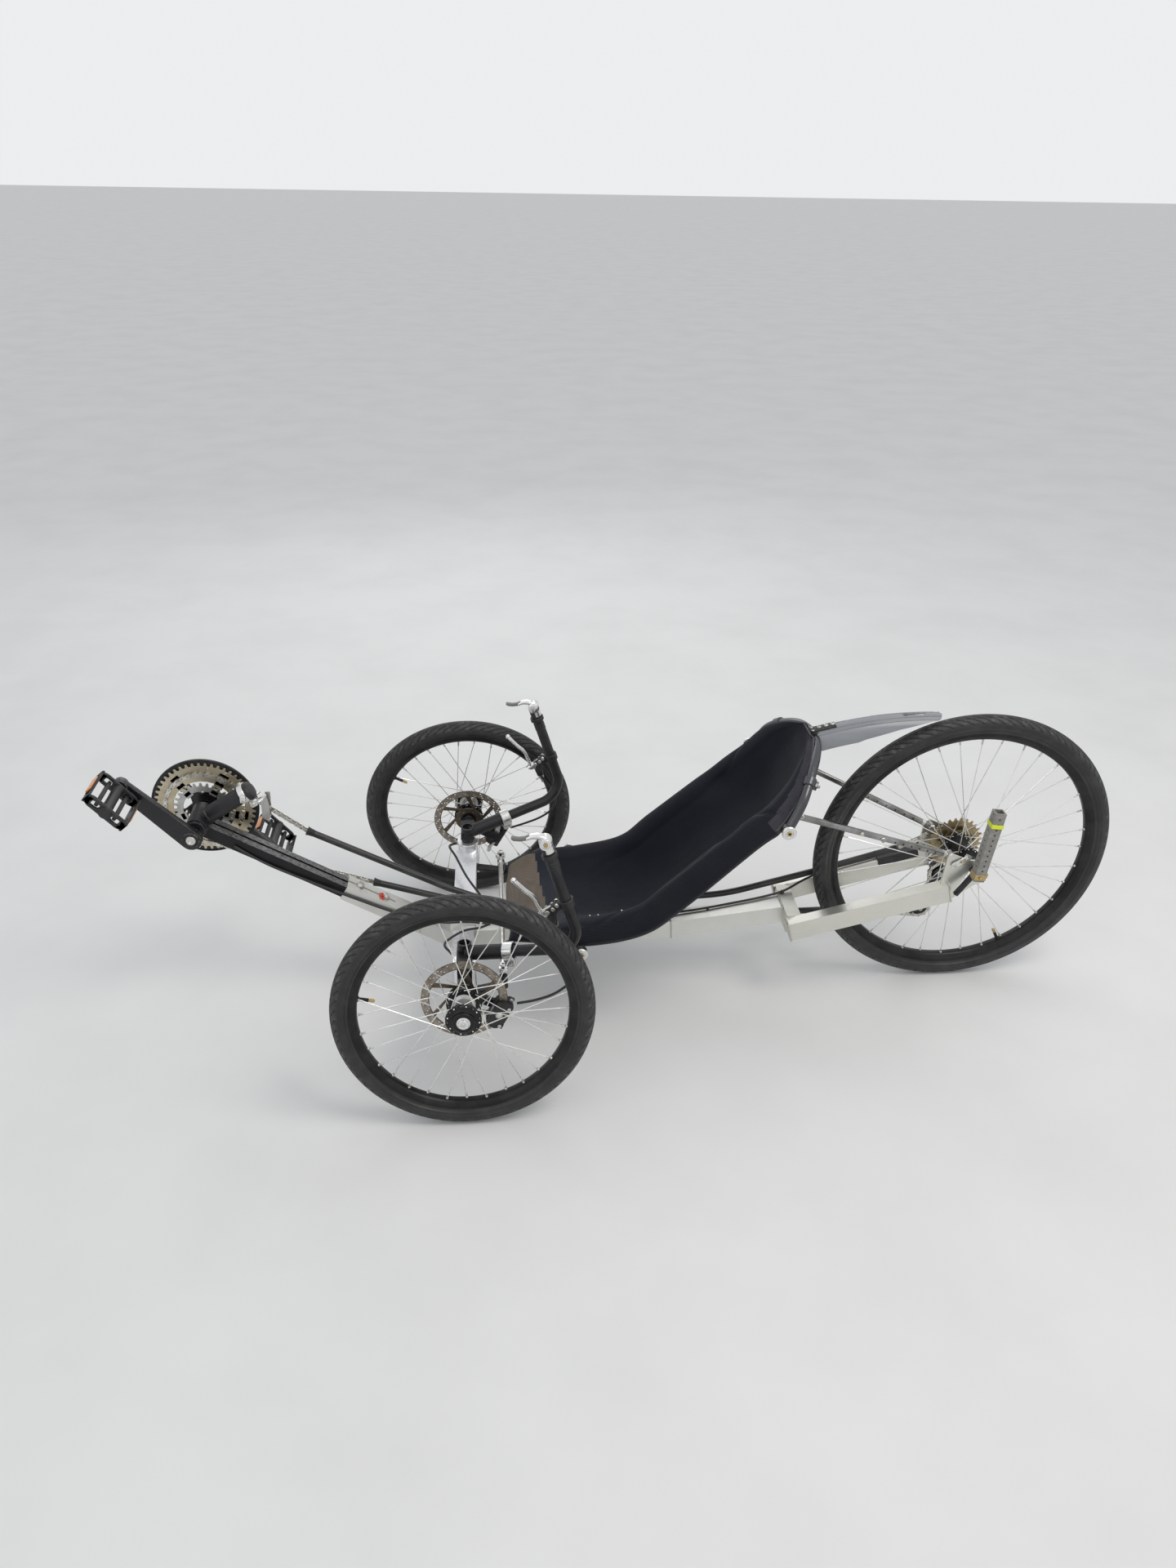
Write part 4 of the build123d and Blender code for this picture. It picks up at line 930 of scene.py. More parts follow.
def pins(points, start):
    """Places a pitch apart along a line of points."""
    made, want, gone = [], start, 0.0
    for a, b in zip(points, points[1:]):
        d = apart(a, b)
        while d > 0 and gone + d >= want:
            made.append(along(a, b, (want - gone) / d))
            want += PITCH
        gone += d
    return made


def link_outline(length, r, waist):
    """A chain plate's outline: round ends and a narrower waist."""
    made = []
    for end, base in ((1, -pi * 0.62), (-1, pi * 0.38)):
        for i in range(6):
            x, y = polar(r, base + pi * 1.24 * i / 5)
            made.append((length / 2 * end + x, y))
        made.append((0, end * waist))
    return made


def chain():
    """Narrow and wide links in turn on rollers, where the chain runs outside its tubes."""
    s = Shape()
    outline = link_outline(PITCH, 4.1, 3.0)
    front = ((LOWER[0], 0), (BB, RING), (UPPER[0], 0))
    rear = ((LOWER[-1], 0), (JOCKEY_LOW, -JOCKEY), (JOCKEY_TOP, JOCKEY),
            ((REAR_X, REAR_R), -SPROCKET), (UPPER[-1], 0))
    for items in (front, rear):
        chosen = pins(belt_points(items), 2.0)
        for i, (a, b) in enumerate(zip(chosen, chosen[1:])):
            mid = ((a[0] + b[0]) / 2, CHAIN_Y, (a[1] + b[1]) / 2)
            place = aim(mid, RIGHT, (b[0] - a[0], 0, b[1] - a[1]))
            out = 3.0 if i % 2 else 1.95
            s.mark = i % 2
            for y in (-out, out):
                s.plate(outline, 1.0, place @ at(0, 0, y))
            s.mark = 0
            s.lathe(((0, -4.3), (1.9, -4.3), (1.9, -1.5), (3.7, -1.5), (3.7, 1.5), (1.9, 1.5),
                     (1.9, 4.3), (0, 4.3)), place @ at(-PITCH / 2, 0, 0), 8)
    piece("chain_links", s, [M_CHAIN, M_STEEL], "frame", "chain", sharp=40)


def chain_tubes():
    """The two guide tubes with a flared mouth at each end."""
    for name, route in (("upper", UPPER), ("lower", LOWER)):
        s = Shape()
        line = arc_points([(x, CHAIN_Y, z) for x, z in route], 420, 10)
        s.tube(line, 7.0, 18)
        for end, inner in ((line[0], line[1]), (line[-1], line[-2])):
            s.ring(((5.2, -0.5), (9.2, -0.5), (9.6, 0.6), (8.4, 3), (7.2, 14), (6.5, 15),
                    (5.2, 15)), aim(end, (inner - end).normalized()), 24)
        piece(f"guide_tube_{name}", s, M_TUBE, "frame", "chain_tube_" + name)


def chainrings():
    """Three toothed rings on a five-armed spider, with the guard outside them."""
    s = Shape()
    ring_y = (-53, -48, -43)
    rows = ((48, 92.8, 99.6, 79), (38, 73.0, 80.0, 61), (28, 52.8, 59.6, 41))
    for s.mark, (teeth, root, tip, hole) in enumerate(rows):
        sprocket(s, teeth, root, tip, 2.6, ring_y[s.mark], hole, 0, CRANK_PLACE)
    for t in SPIDER:
        for s.mark, (r, long, wide) in enumerate(((79, 15, 21), (61.5, 15, 19), (43, 13, 15))):
            s.box((long, wide, 2.6), CRANK_PLACE @ turn(degrees(t)) @ at(r, 0, ring_y[s.mark]),
                  0.6, 1)
        s.mark = 3
        for r in (72, 41):
            foot, mid, end = (CRANK_PLACE @ V(*polar(r, t), y) for y in (-46, -61, -62.4))
            s.rod(foot, mid, 4.6, 14)
            s.rod(mid, end, 3.2, 6)
    s.mark = 0
    for t in angles(16, 0.2):
        s.ball(CRANK_PLACE @ V(*polar(88.5, t), -51.2), 1.9, 8, 0.6, LEFT)
    piece("toothed_rings", s, [M_RING_OUT, M_RING_MID, M_RING_IN, M_STEEL], "crank",
          "chainrings")
    s = Shape()
    s.ring(((90.5, -56.6), (105, -56.6), (106, -57.4), (106, -58.6), (105.2, -59.4), (93, -59.4),
            (90.5, -58.4)), CRANK_PLACE, 96)
    s.ring(((104.4, -54.2), (106, -54.2), (106, -57.5), (104.4, -57.5)), CRANK_PLACE, 96)
    for t in SPIDER:
        s.box((20, 9, 2.4), CRANK_PLACE @ turn(degrees(t)) @ at(83, 0, -58.2), 0.6, 1)
    piece("guard_ring", s, M_PLASTIC, "crank", "chain_guard")


def crank_reach(side):
    """The middle of a crank's hub and the way from there to its pedal's spindle."""
    return V(BB[0], side * CRANK_Y, BB[1]), V(cos(CRANK_ANGLE), 0, sin(CRANK_ANGLE)) * CRANK * side


def crank_arms():
    """Both arms with their bolts and the pedals' spindles, and the right one's spider."""
    for side, word in SIDES:
        s = Shape()
        hub, reach = crank_reach(side)
        place = aim(hub, (0, side, 0), reach)
        eye = place @ at(CRANK, 0, 0)
        s.plate(capsule((0, 0), (CRANK, 0), 20.5, 14.5, 14), 11.5, place @ at(0, 0, 0.8), (), 2.4,
                3)
        s.ring(((9.5, -9), (19, -9), (20, -8), (20, 0), (9.5, 0)), place, 40)
        s.lathe(((14, -8.5), (14, 8), (12.8, 8.6), (8, 8.6)), eye, 32)
        s.lathe(((16.5, 6.2), (15.6, 7.6), (10.6, 8.0), (10.0, 7.0), (10, 4), (0, 4)), place, 36)
        s.mark = 1
        s.lathe(((0, 7.4), (4.2, 7.4), (4.8, 8.2), (8.6, 8.2), (9.4, 7.4), (9.4, 5)), place, 28)
        s.lathe(((0, 8.8), (5.6, 8.8), (6.2, 8.2), (6.2, 4)), eye, 20)
        s.mark = 0
        s.rod((BB[0], side * 38, BB[1]), (BB[0], side * 68, BB[1]), 8.4, 24)
        if side < 0:
            star = [polar(r, t + more) for t in SPIDER for more, r in
                    ((-0.50, 27), (-0.16, 42), (-0.10, 80), (0.10, 80), (0.16, 42))]
            s.plate(star, 5, CRANK_PLACE @ at(0, 0, -63), [ring_points(9, 24)], 0.8)
        spindle = hub + reach + V(0, side * 8, 0)
        s.mark = 1
        s.rod(spindle, spindle + V(0, side * 7, 0), 7.2, 6)
        s.rod(spindle, spindle + V(0, side * 92, 0), 5.8, 16)
        piece("crank_arm_" + word, s, [M_CRANK, M_STEEL], "crank", "crank_" + word)


def pedals():
    """Caged pedals: toothed plates front and rear, end plates, a barrel and two reflectors."""
    width, length, tilt = 90.0, 86.0, -50
    half_w, half_l = width / 2, length / 2
    edge = [(-half_w, 8)]
    for i in range(11):
        x = -half_w + 6 + (width - 12) * i / 10
        edge += [(x - 3.4, 11), (x, 14.2), (x + 3.4, 11)]
    edge.append((half_w, 8))
    edge += [(x, -z) for x, z in edge[::-1]]
    for side, word in SIDES:
        hub, reach = crank_reach(side)
        place = Matrix.Translation(hub + reach + V(0, side * (12 + half_w), 0)) @ turn(tilt, "Y")
        s = Shape()
        for x in (-half_l + 1.2, half_l - 1.2):
            windows = [slot_points(y, 0, 24, 9, steps=4) for y in (-25, 25)]
            s.plate(edge, 2.4, place @ aim((x, 0, 0), AHEAD, LEFT), windows, 0.4)
        for y in (-half_w + 3, half_w - 3):
            end = capsule((-half_l + 12, 0), (half_l - 12, 0), 11.5, 11.4, 8)
            gaps = [slot_points(x, 0, 20, 11, steps=4) for x in (-23, 23)]
            s.plate(end, 6, place @ aim((0, y, 0), LEFT), gaps, 0.8, 2)
            for x in (-half_l + 6, half_l - 6):
                s.box((14, 6, 19), place @ at(x, y, 0), 1.2)
        for x in (-20, 20):
            s.box((7, width - 8, 9), place @ at(x, 0, 0), 1.5)
        s.ring(((7, -half_w), (11.5, -half_w), (12.4, -half_w + 2), (10, -half_w + 16), (9.6, 0),
                (10, half_w - 16), (12.4, half_w - 2), (11.5, half_w), (7, half_w)),
               place @ aim((0, 0, 0), LEFT), 28)
        s.lathe(((12.2, 0), (11.4, 2.2), (7, 3), (0, 3.2)),
                place @ aim((0, side * half_w, 0), (0, side, 0)), 24)
        piece("pedal_cage_" + word, s, M_PLASTIC, word + "_pedal",
              "pedal_" + word)
        s = Shape()
        for s.mark, size, out, bevel in ((0, (4.4, 46, 13), 1.6, 0.9),
                                         (1, (3.4, 50, 16), 0.2, 0.8)):
            for x in (-half_l - out, half_l + out):
                s.box(size, place @ at(x, 0, 0), bevel)
        piece("pedal_lamp_" + word, s, [M_AMBER, M_PLASTIC], word + "_pedal",
              "pedal_reflectors_" + word)


# The tube that carries the front derailleur leaves the crank shell here, this way.
POST_FOOT, POST_TIP = V(BB[0] - 8, 0, BB[1] + 5), V(BB[0] - 108, 0, BB[1] + 66)
POST_RUN = (POST_TIP - POST_FOOT).normalized()


def crank_shell():
    """The crank shell, its cups and the tube that carries the front derailleur."""
    s = Shape()
    s.ring(((9, -36), (19, -36), (21, -35), (21, 35), (19.5, 36), (9, 36)), CRANK_PLACE, 48)
    s.ring(((9.2, 36), (17.6, 36), (17.6, 39), (18.6, 39.4), (18.6, 42), (17, 43), (9.2, 43)),
           CRANK_PLACE, 40)
    s.ring(((9.2, -36), (17, -36), (17, -38.2), (9.2, -38.2)), CRANK_PLACE, 32)
    for a in angles(8):
        s.box((3.4, 4.2, 3.6), CRANK_PLACE @ turn(degrees(a)) @ at(17.9, 0, 40.6), 0.5, 1)
    s.rod(POST_FOOT, POST_TIP - POST_RUN * 3, 17, 44, 0.4)
    s.mark = 1
    s.lathe(((17, -17), (18.8, -16), (19.4, -13), (19.4, -4), (18.6, -1), (16, 1.6), (12, 2.6),
             (0, 3)), aim(POST_TIP - POST_RUN, POST_RUN), 44)
    s.mark = 2
    rise = V(LEFT).cross(POST_RUN)
    s.tube([POST_FOOT + POST_RUN * 15 + (V(LEFT) * cos(t) + rise * sin(t)) * 17.2
            for t in (*angles(40), 2 * pi)], 1.8, 6, caps=False)
    piece("crank_shell", s, [M_PAINT, M_PLASTIC, M_PAINT], "frame",
          "bottom_bracket")


def front_derailleur():
    """Clamp, links and cage over the rings."""
    s = Shape()
    mid = POST_FOOT + POST_RUN * 97
    s.pipe(mid, mid + POST_RUN * 12, 21.2, 17.2)
    lug = mid + POST_RUN * 6
    down = POST_RUN.cross(V(LEFT)).normalized()
    s.bar(lug + V(0, 18, 0), lug + V(0, 30, 0), 11, 13, AHEAD, 1.5)
    s.bar(lug + down * 18, lug + down * 33, 12, 12, LEFT, 1.5)
    s.mark = 1
    s.cap_screw(aim(lug + V(0, 28, 0) + down * 3, LEFT), 4.6, 4)
    s.cap_screw(aim(lug + down * 26 + V(0, 6, 0), LEFT), 5.2, 5)
    s.cap_screw(aim(lug + V(0, -4, 0) - down * 20.5, -down), 3.6, 3)
    s.mark = 0
    near = lug + down * 24 + V(0, -8, 0)
    far = V(BB[0] - 116, -40, BB[1] + 34)
    for shift in (V(4, 0, 5), V(-6, 0, -7)):
        s.bar(near + shift, far + shift, 9, 4, AHEAD, 1.0)
    s.bar(near + V(0, 6, -2), near + V(-26, 8, 14), 8, 3.4, LEFT, 0.8)
    arc_in, arc_out = 114.0, 130.0
    s.mark = 2
    for y, low, high in ((-39, 167, 194), (-57, 169, 193)):
        outline = arc_at(arc_out, low, high, 10) + arc_at(arc_in, high - 4, low + 2, 10)
        s.plate([(x, -z) for x, z in outline], 1.6, aim((BB[0], y, BB[1]), LEFT), (), 0.4)
    top, low = (V(BB[0] + x, CHAIN_Y, BB[1] + z)
                for x, z in (polar(arc_out, radians(a)) for a in (169, 192)))
    s.box((2, 19, 10), aim(top, AHEAD, LEFT), 0.6, 1)
    s.mark = 1
    s.rod(low + V(2, -10, 2), low + V(2, 10, 2), 2.0, 8)
    piece("derailleur_front", s, [M_PART, M_STEEL, M_RING_IN], "frame",
          "front_derailleur")


# The left handlebar: its foot at the kingpin, its bend and its top; the right one is mirrored.
BAR_R, SOCKET_R = 11.1, 14.5
BAR_A, BAR_C, BAR_F = V(0, 225, 262), V(-222, 296, 318), V(-153, 284, 540)
BAR_RUN, BAR_AXIS = (BAR_C - BAR_A).normalized(), (BAR_F - BAR_C).normalized()
KINGPIN, KINGPIN_UP = V(0, 225, 213), V(0, -sin(radians(6)), cos(radians(6)))
ROD_X, ROD_Y, ROD_Z = -73.0, 209.0, 208.0


def toward(a, b, t):
    """The point t from a towards b."""
    return a + (b - a).normalized() * t


def square_to(way, axis):
    """A way made square to an axis."""
    return (way - axis * way.dot(axis)).normalized()


def handlebars():
    bar, socket, clamp, collar = Shape(), Shape(), Shape(), Shape()
    bar.tube(arc_points([toward(BAR_A, BAR_C, 40), BAR_C, BAR_F], 52, 16), BAR_R, 28)
    pair("bar", bar, M_BAR, "knuckle", ["handlebar"])
    socket.pipe(BAR_A + BAR_RUN * 5, BAR_A + BAR_RUN * 86, SOCKET_R, 11.3, 36, 0.8)
    socket.pipe(KINGPIN + KINGPIN_UP * 33, KINGPIN + KINGPIN_UP * 69, 13.8, 10.8, 36, 0.8)
    # the dark plug inside the bore is painted shade
    socket.mark = 1
    socket.rod(KINGPIN + KINGPIN_UP * 55, KINGPIN + KINGPIN_UP * 59, 10.9, 30)
    pair("socket", socket, [M_PAINT, M_BORE_SHADE], "knuckle", ["bar_socket"])
    start = BAR_A + BAR_RUN * 82
    clamp.pipe(start, start + BAR_RUN * 20, 18.2, 14.6, 44, 1.2)
    down = square_to(V(0, 0.25, -1), BAR_RUN)
    across = BAR_RUN.cross(down).normalized()
    mid = start + BAR_RUN * 10
    for k in (-5.2, 5.2):
        clamp.box((15, 20, 7), aim(mid + down * 21 + across * k, across, down), 1.2)
    clamp.mark = 1
    for k in (-5.2, 5.2):
        clamp.cap_screw(aim(mid + down * 23 + across * 8.7 + BAR_RUN * k, across), 3.6, 4.2)
    pair("clamp", clamp, [M_PART, M_STEEL], "knuckle", ["bar_clamp"])
    collar.ring(((14.2, 0), (14.8, 0.8), (14.8, 8), (14.2, 8.8), (11.3, 8.8), (11.3, 0)),
                aim(BAR_F - BAR_AXIS * 30, BAR_AXIS), 30)
    for t in (40, 46, 52):
        collar.lathe(((11.3, 0), (12.0, 0.6), (12.0, 2), (11.3, 2.6)),
                     aim(BAR_F - BAR_AXIS * t, BAR_AXIS), 28)
    pair("bar_collar", collar, M_PLASTIC, "knuckle")


def brake_levers():
    """The lever's perch on the bar, and the lever that hangs from it on a pivot."""
    axis = BAR_AXIS
    mid = toward(BAR_C, BAR_F, 104)
    ahead = square_to(V(AHEAD), axis)
    perch, lever = Shape(), Shape()
    perch.pipe(mid - axis * 7.5, mid + axis * 7.5, 14.6, 11.2, 36, 1.0)
    perch.strap((mid + ahead * 10, mid + ahead * 22 - axis * 3, mid + ahead * 38 - axis * 9),
                (13, 15, 17), (14, 17, 19), corner=0.22)
    barrel = mid + ahead * 36 - axis * 38
    perch.strap((mid + ahead * 30 - axis * 6, mid + ahead * 36 - axis * 24, barrel),
                (16, 15, 13), (17, 17, 14))
    perch.mark = 1
    for a, b in ((18, 4), (27, -1)):
        for k in (1, -1):
            perch.cap_screw(aim(mid + ahead * a + axis * b + V(0, 6.5 * k, 0), (0, k, 0)), 3.8, 4.0)
    pair("perch", perch, [M_PLASTIC, M_STEEL], "knuckle")
    root = mid + ahead * 34 - axis * 4
    kink, knee, tip = (V(x, root.y, z) for x, z in ((-147, 392), (-134, 426), (-94, 470)))
    foot = root + V(8, 0, -8)
    path = [root + V(-6, 0, 3), foot, toward(foot, kink, 12), kink + V(-3, 0, -2),
            kink + V(1, 0, 3), kink + V(4, 0, 12), toward(kink, knee, 26), knee, knee + V(6, 0, 9),
            toward(knee, tip, 26), toward(knee, tip, 44), tip - V(3, 0, 3), tip]
    lever.strap(path, (11, 13, 13, 12.5, 12, 12, 11.5, 11, 11.5, 12.5, 12.5, 11, 7),
                (15, 17, 15, 12, 9.5, 7.5, 6.5, 6.2, 6.0, 5.6, 5.4, 6.4, 4.5), corner=0.42, steps=3)
    lever.ball(tip - V(1.5, 0, 1.5), 5.4, 14, 1.0, LEFT)
    lever.mark = 1
    pivot = root + V(4, 0, -2)
    lever.rod(pivot - V(0, 10, 0), pivot + V(0, 10, 0), 4.2, 16)
    for start, end, r, n in ((0, 8, 6.2, 18), (8, 12, 4.6, 12), (12, 20, 3.6, 12)):
        lever.rod(barrel - axis * start, barrel - axis * end, r, n)
    pair("lever", lever, [M_PART, M_STEEL], "knuckle", ["brake_lever"], sharp=40)


def shifters():
    """Bar-end shifters: a silver pod across the bar's top with a lever reaching forward."""
    c = BAR_F + V(0, 0, 4)
    s = Shape()
    s.lathe(((0, -11), (9.5, -11), (12.2, -9), (12.6, -3), (12.0, 4), (11.4, 9), (11.4, 13),
             (10.4, 14.5), (7.4, 14.5), (7, 13.4), (0, 13.4)), aim(c, LEFT), 40)
    s.rod(c - BAR_AXIS * 22, c - BAR_AXIS * 2, 11.4, 28)
    s.strap([c + V(x, 0, z) for x, z in ((2, 9), (14, 12.5), (24, 12), (34, 8))],
            (17, 16, 13, 11), (8, 9, 8, 6), corner=0.45, steps=3)
    s.mark = 1
    s.rod(c + V(0, 13, 0), c + V(0, 16.4, 0), 4.2, 6)
    s.mark = 2
    s.strap([c + V(x, 0, z) for x, z in ((27, 11), (36, 7.5), (46, 6.5), (56, 8), (60, 9.5))],
            (11, 10.5, 11, 12, 9), (7, 6.5, 6, 6, 4), corner=0.45, steps=3)
    pair("shift_pod", s, [M_PART, M_BRASS, M_SHIFT], "knuckle", ["shifter"],
         sharp=40)


def calliper():
    """Cable calliper in wheel axes: X out from the axle, Z outboard, 0 on the disc."""
    s = Shape()
    r = 72.0
    s.plate(capsule((r, -15), (r, 15), 15, 15, 8), 7.4, at(0, 0, 5.6), (), 1.6, 2)
    s.plate(capsule((r - 1, -17), (r - 1, 16), 16, 16, 8), 15, at(0, 0, -10), (), 2.2, 2)
    for size, x, y, z, bevel in (((14, 11, 24), 11, -20, -3, 2), ((14, 11, 24), 11, 20, -3, 2),
                                 ((5, 26, 20), 15, 0, -2, 1.6), ((12, 62, 8), 12, 0, -16, 2)):
        s.box(size, at(r + x, y, z), bevel)
    s.lathe(((0, 0), (15, 0), (15.6, 1), (15.6, 4), (14, 5.5), (9, 6), (9, 7.5), (0, 7.5)),
            aim((r, -1, -17), DOWN), 36)
    s.mark = 1
    for x, y, z, way, size, high in ((12, -27, -12, UP, 4.6, 5.5), (12, 27, -12, UP, 4.6, 5.5),
                                     (11, -20, 9, UP, 3.6, 3), (11, 20, 9, UP, 3.6, 3),
                                     (0, -1, -24.5, DOWN, 5, 3)):
        s.cap_screw(aim((r + x, y, z), way), size, high)
    s.ball((r, 0, 9), 7.2, 20, 0.5)
    s.strap(((r, -1, -22), (r - 4, 14, -22), (r - 10, 32, -22), (r - 13, 40, -22)),
            (15, 12, 10, 10), 3.4, AHEAD)
    s.cap_screw(aim((r - 13, 40, -24), DOWN), 4.2, 3.5)
    s.box((5, 24, 9), at(r + 3, -30, -20) @ turn(-12), 1.2)
    s.rod((r + 3, -38, -20), (r + 4, -50, -20), 4.4, 12)
    s.mark = 2
    for z in (-2.24, 2.24):
        s.box((18, 17, 1.2), at(r - 8, 0, z), 0.3, 1)
    where = wheel_place(1) @ at(0, 0, ROTOR_AT) @ turn(CALLIPER_TURN)
    for word, shape, place in (("left", s, where), ("right", Shape().join(s, where), None)):
        piece("calliper_" + word, shape, [M_PLASTIC, M_STEEL, M_PART], word + "_knuckle",
              "brake_calliper_" + word, place, flip=not place, sharp=36)


def tie_rod():
    """The rod and its two eyes; the right eye is wide, because that pivot is the open one."""
    s = Shape()

    def along_y(a, b, r, n):
        s.rod((ROD_X, a, ROD_Z), (ROD_X, b, ROD_Z), r, n)

    along_y(-ROD_Y + 34, ROD_Y - 34, 5.0, 24)
    s.mark = 1
    for k, hole, rim in ((1, 3.3, 10.0), (-1, 8.2, 11.5)):
        along_y(k * (ROD_Y - 36), k * (ROD_Y - 28), 6.6, 6)
        along_y(k * (ROD_Y - 30), k * (ROD_Y - 9.4), 4.2, 14)
        s.ring(((hole, -4.6), (rim - 1.6, -4.6), (rim - 0.5, -3.2), (rim, 0), (rim - 0.5, 3.2),
                (rim - 1.6, 4.6), (hole, 4.6)),
               aim((ROD_X, k * ROD_Y, ROD_Z), (0.034, -0.10467 * k, 1)), 36)
    piece("steering_link", s, [M_STEEL, M_PART], "tie_rod", "tie_rod")


def knuckle_details():
    """Nuts, bearing rings and screws on each knuckle and kingpin tube."""
    nuts, rings = Shape(), Shape()
    nuts.nut(aim(KINGPIN - KINGPIN_UP * 45, -KINGPIN_UP), 19, 8)
    nuts.cap_screw(aim((ROD_X, ROD_Y, ROD_Z + 9), UP), 6, 4)
    nuts.nut(aim((ROD_X, ROD_Y, 166), DOWN), 10, 5)
    pair("kingpin_nut", nuts, M_STEEL, "knuckle")
    for k in (1, -1):
        rings.ring(((14, 0), (23.2, 0), (23.8, 0.8), (23.8, 5), (22.6, 6), (14, 6)),
                   aim(KINGPIN + KINGPIN_UP * 30.5 * k, -KINGPIN_UP * k), 44)
    pair("bearing_rings", rings, M_PART, "frame")


def weld(s, points, r, seed):
    """A bead of overlapping ripples along a line of points."""
    points = [V(p) for p in points]
    jitter = random.Random(seed)
    line, radii = [], []
    for a, b in zip(points, points[1:]):
        count = max(2, int((b - a).length / 1.3))
        for i in range(count):
            line.append(a + (b - a) * i / count)
            radii.append(r * (1.0 + 0.16 * sin(len(line) * 2.1) + jitter.uniform(-0.08, 0.08)))
    line.append(points[-1])
    radii.append(r)
    s.tube(line, radii, 8)


def rect_weld(s, centre, run, across, wide, high, r, seed):
    """A bead round a rectangular tube of a width along across and a height."""
    centre, run, across = V(centre), V(run).normalized(), V(across).normalized()
    up = run.cross(across)
    corners = [centre + across * a * wide / 2 + up * b * high / 2
               for a, b in ((1, 1), (-1, 1), (-1, -1), (1, -1), (1, 1))]
    weld(s, corners, r, seed)


def welds():
    """The beads round the frame tubes' ends, at the yoke, the stays and the cross arms."""
    s = Shape()
    rect_weld(s, (-676, 0, 183.2), (-255, 0, 32), LEFT, 45, 41, 2.2, 3)
    rect_weld(s, (-435, 0, 153), (-1, 0, 0.06), LEFT, 45, 41, 1.6, 4)
    for y in (-72, 72):
        rect_weld(s, (-677, y, 180), (-337, 0, 89), LEFT, 26, 43, 2.0, 5)
    for k in (-1, 1):
        rect_weld(s, (0, k * 23, 168), (0, 1, 0.12), AHEAD, 33, 29, 2.0, 6)
    piece("frame_welds", s, M_WELD, "frame", sharp=60)


# The frame's nose, and the dabs of paint by its bolt: ahead of the bolt, aside, size and height.
NOSE_FOOT, NOSE_TOP = V(36, 0, 146), V(250, 0, 273)
DABS = ((9.2, 3, 4.6, 1.4), (8.6, 8.5, 3.6, 0.6), (9.6, -3.5, 3.8, 0.7), (6.6, 5.5, 3.0, 5.0),
        (3.5, 10.8, 3.0, 0.6), (7.4, 0.5, 2.6, 6.0))


def nose_bolts():
    """Two pinch bolts on the frame's nose, each on a washer, one with dabs of red paint."""
    slope = (NOSE_TOP - NOSE_FOOT).normalized()
    up = V(-slope.z, 0, slope.x)
    s = Shape()
    for t in (26, 84):
        c = NOSE_TOP - slope * t + up * 17
        s.mark = 2
        s.lathe(((0, -2), (10.2, -2), (10.2, 0.6), (9.8, 1.0), (0, 1.0)), aim(c, up), 32)
        s.mark = 0
        s.cap_screw(aim(c + up * 1.2, up), 7.3, 6.4)
    s.mark = 1
    for x, y, size, height in DABS:
        s.ball(c + slope * x + V(0, y, 0) + up * height, size, 14, 0.5, up)
    piece("nose_bolts", s, [M_PART, M_RED, M_CHAIN], "frame")


def cable_fittings():
    """Three clips round the shift cables, and the block under the middle one."""
    s = Shape()
    for place in ((-517, -5, 182), (-250, -17.5, 173.6), (-684, -26.5, 209.4)):
        s.ring(((2.6, -3), (4.0, -3), (4.3, -2), (4.3, 2), (4.0, 3), (2.6, 3)),
               aim(place, AHEAD), 18)
    s.box((9, 8, 5), at(-517, -5, 177.6), 1)
    piece("cable_clips", s, M_PLASTIC, "frame")


def bar_cables():
    """The shift casings that cross from each handlebar's foot to the frame."""
    for side, word in SIDES:
        foot = V(26, side * 205, 246)
        end = V(-46, side * 30, 190) if side > 0 else V(-46, -29, 186)
        line = smooth_line([foot, foot + V(14, -22 * side, 6), (26, 150 * side, 246),
                            (2, 100 * side, 225), (-26, 62 * side, 203),
                            end + V(-1, 3 * side, 1)], 10)
        obj = piece("bar_casing_" + word, Shape().tube(line, 2.5, 12), M_CABLE, None)
        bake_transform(obj)


# The seat's sections from its front lip to its top: X, Z, half width, sag of the middle, edge roll,
# bolster height, and the section's lean in degrees.
SEAT_ROWS = (
    (-84, 219, 126, 8, 8, 4, -40), (-96, 233, 138, 12, 9, 7, -14), (-150, 246, 158, 18, 12, 11, -4),
    (-240, 246, 167, 24, 14, 17, 3), (-345, 266, 167, 46, 14, 22, 24),
    (-420, 322, 166, 55, 14, 27, 40), (-560, 452, 160, 48, 14, 24, 44),
    (-602, 490, 157, 40, 14, 20, 46), (-641, 548, 143, 28, 12, 13, 50),
    (-663, 579, 108, 18, 10, 8, 54), (-681, 601, 64, 9, 8, 5, 58), (-692, 614, 26, 2, 5, 3, 62))
# The cover's thickness and the place along it where its front flap folds.
SEAT_T, SEAT_FOLD = 4.6, 2.42


def mixed(rows, t):
    """A row between the rows of a table, on a smooth line through them."""
    i = min(int(t), len(rows) - 2)
    four = [rows[max(0, min(len(rows) - 1, i + k))] for k in (-1, 0, 1, 2)]
    return [between(*column, t - i) for column in zip(*four)]


def seat_point(t, q):
    """A point of the cover: t along its rows, q across it from the far edge at -8 to 8."""
    x, z, half, sag, roll, crest, lean = mixed(SEAT_ROWS, t)
    low = 6 - sag
    rise = crest - low
    side = ((0, low), (0.20 * half, low + 0.03 * rise), (0.42 * half, low + 0.20 * rise),
            (0.62 * half, low + 0.66 * rise), (0.72 * half, crest * 0.93),
            (0.87 * half, crest + 3), (half - 1, crest * 0.62),
            (half + roll * 0.85, -roll * 0.25), (half + 2, -roll * 1.3))
    y, w = mixed(side, abs(q))
    if abs(q) < 0.999:
        w = low + 0.03 * rise * q * q
    lean = radians(lean)
    return V(x + w * sin(lean), y if q > 0 else -y, z + w * cos(lean))


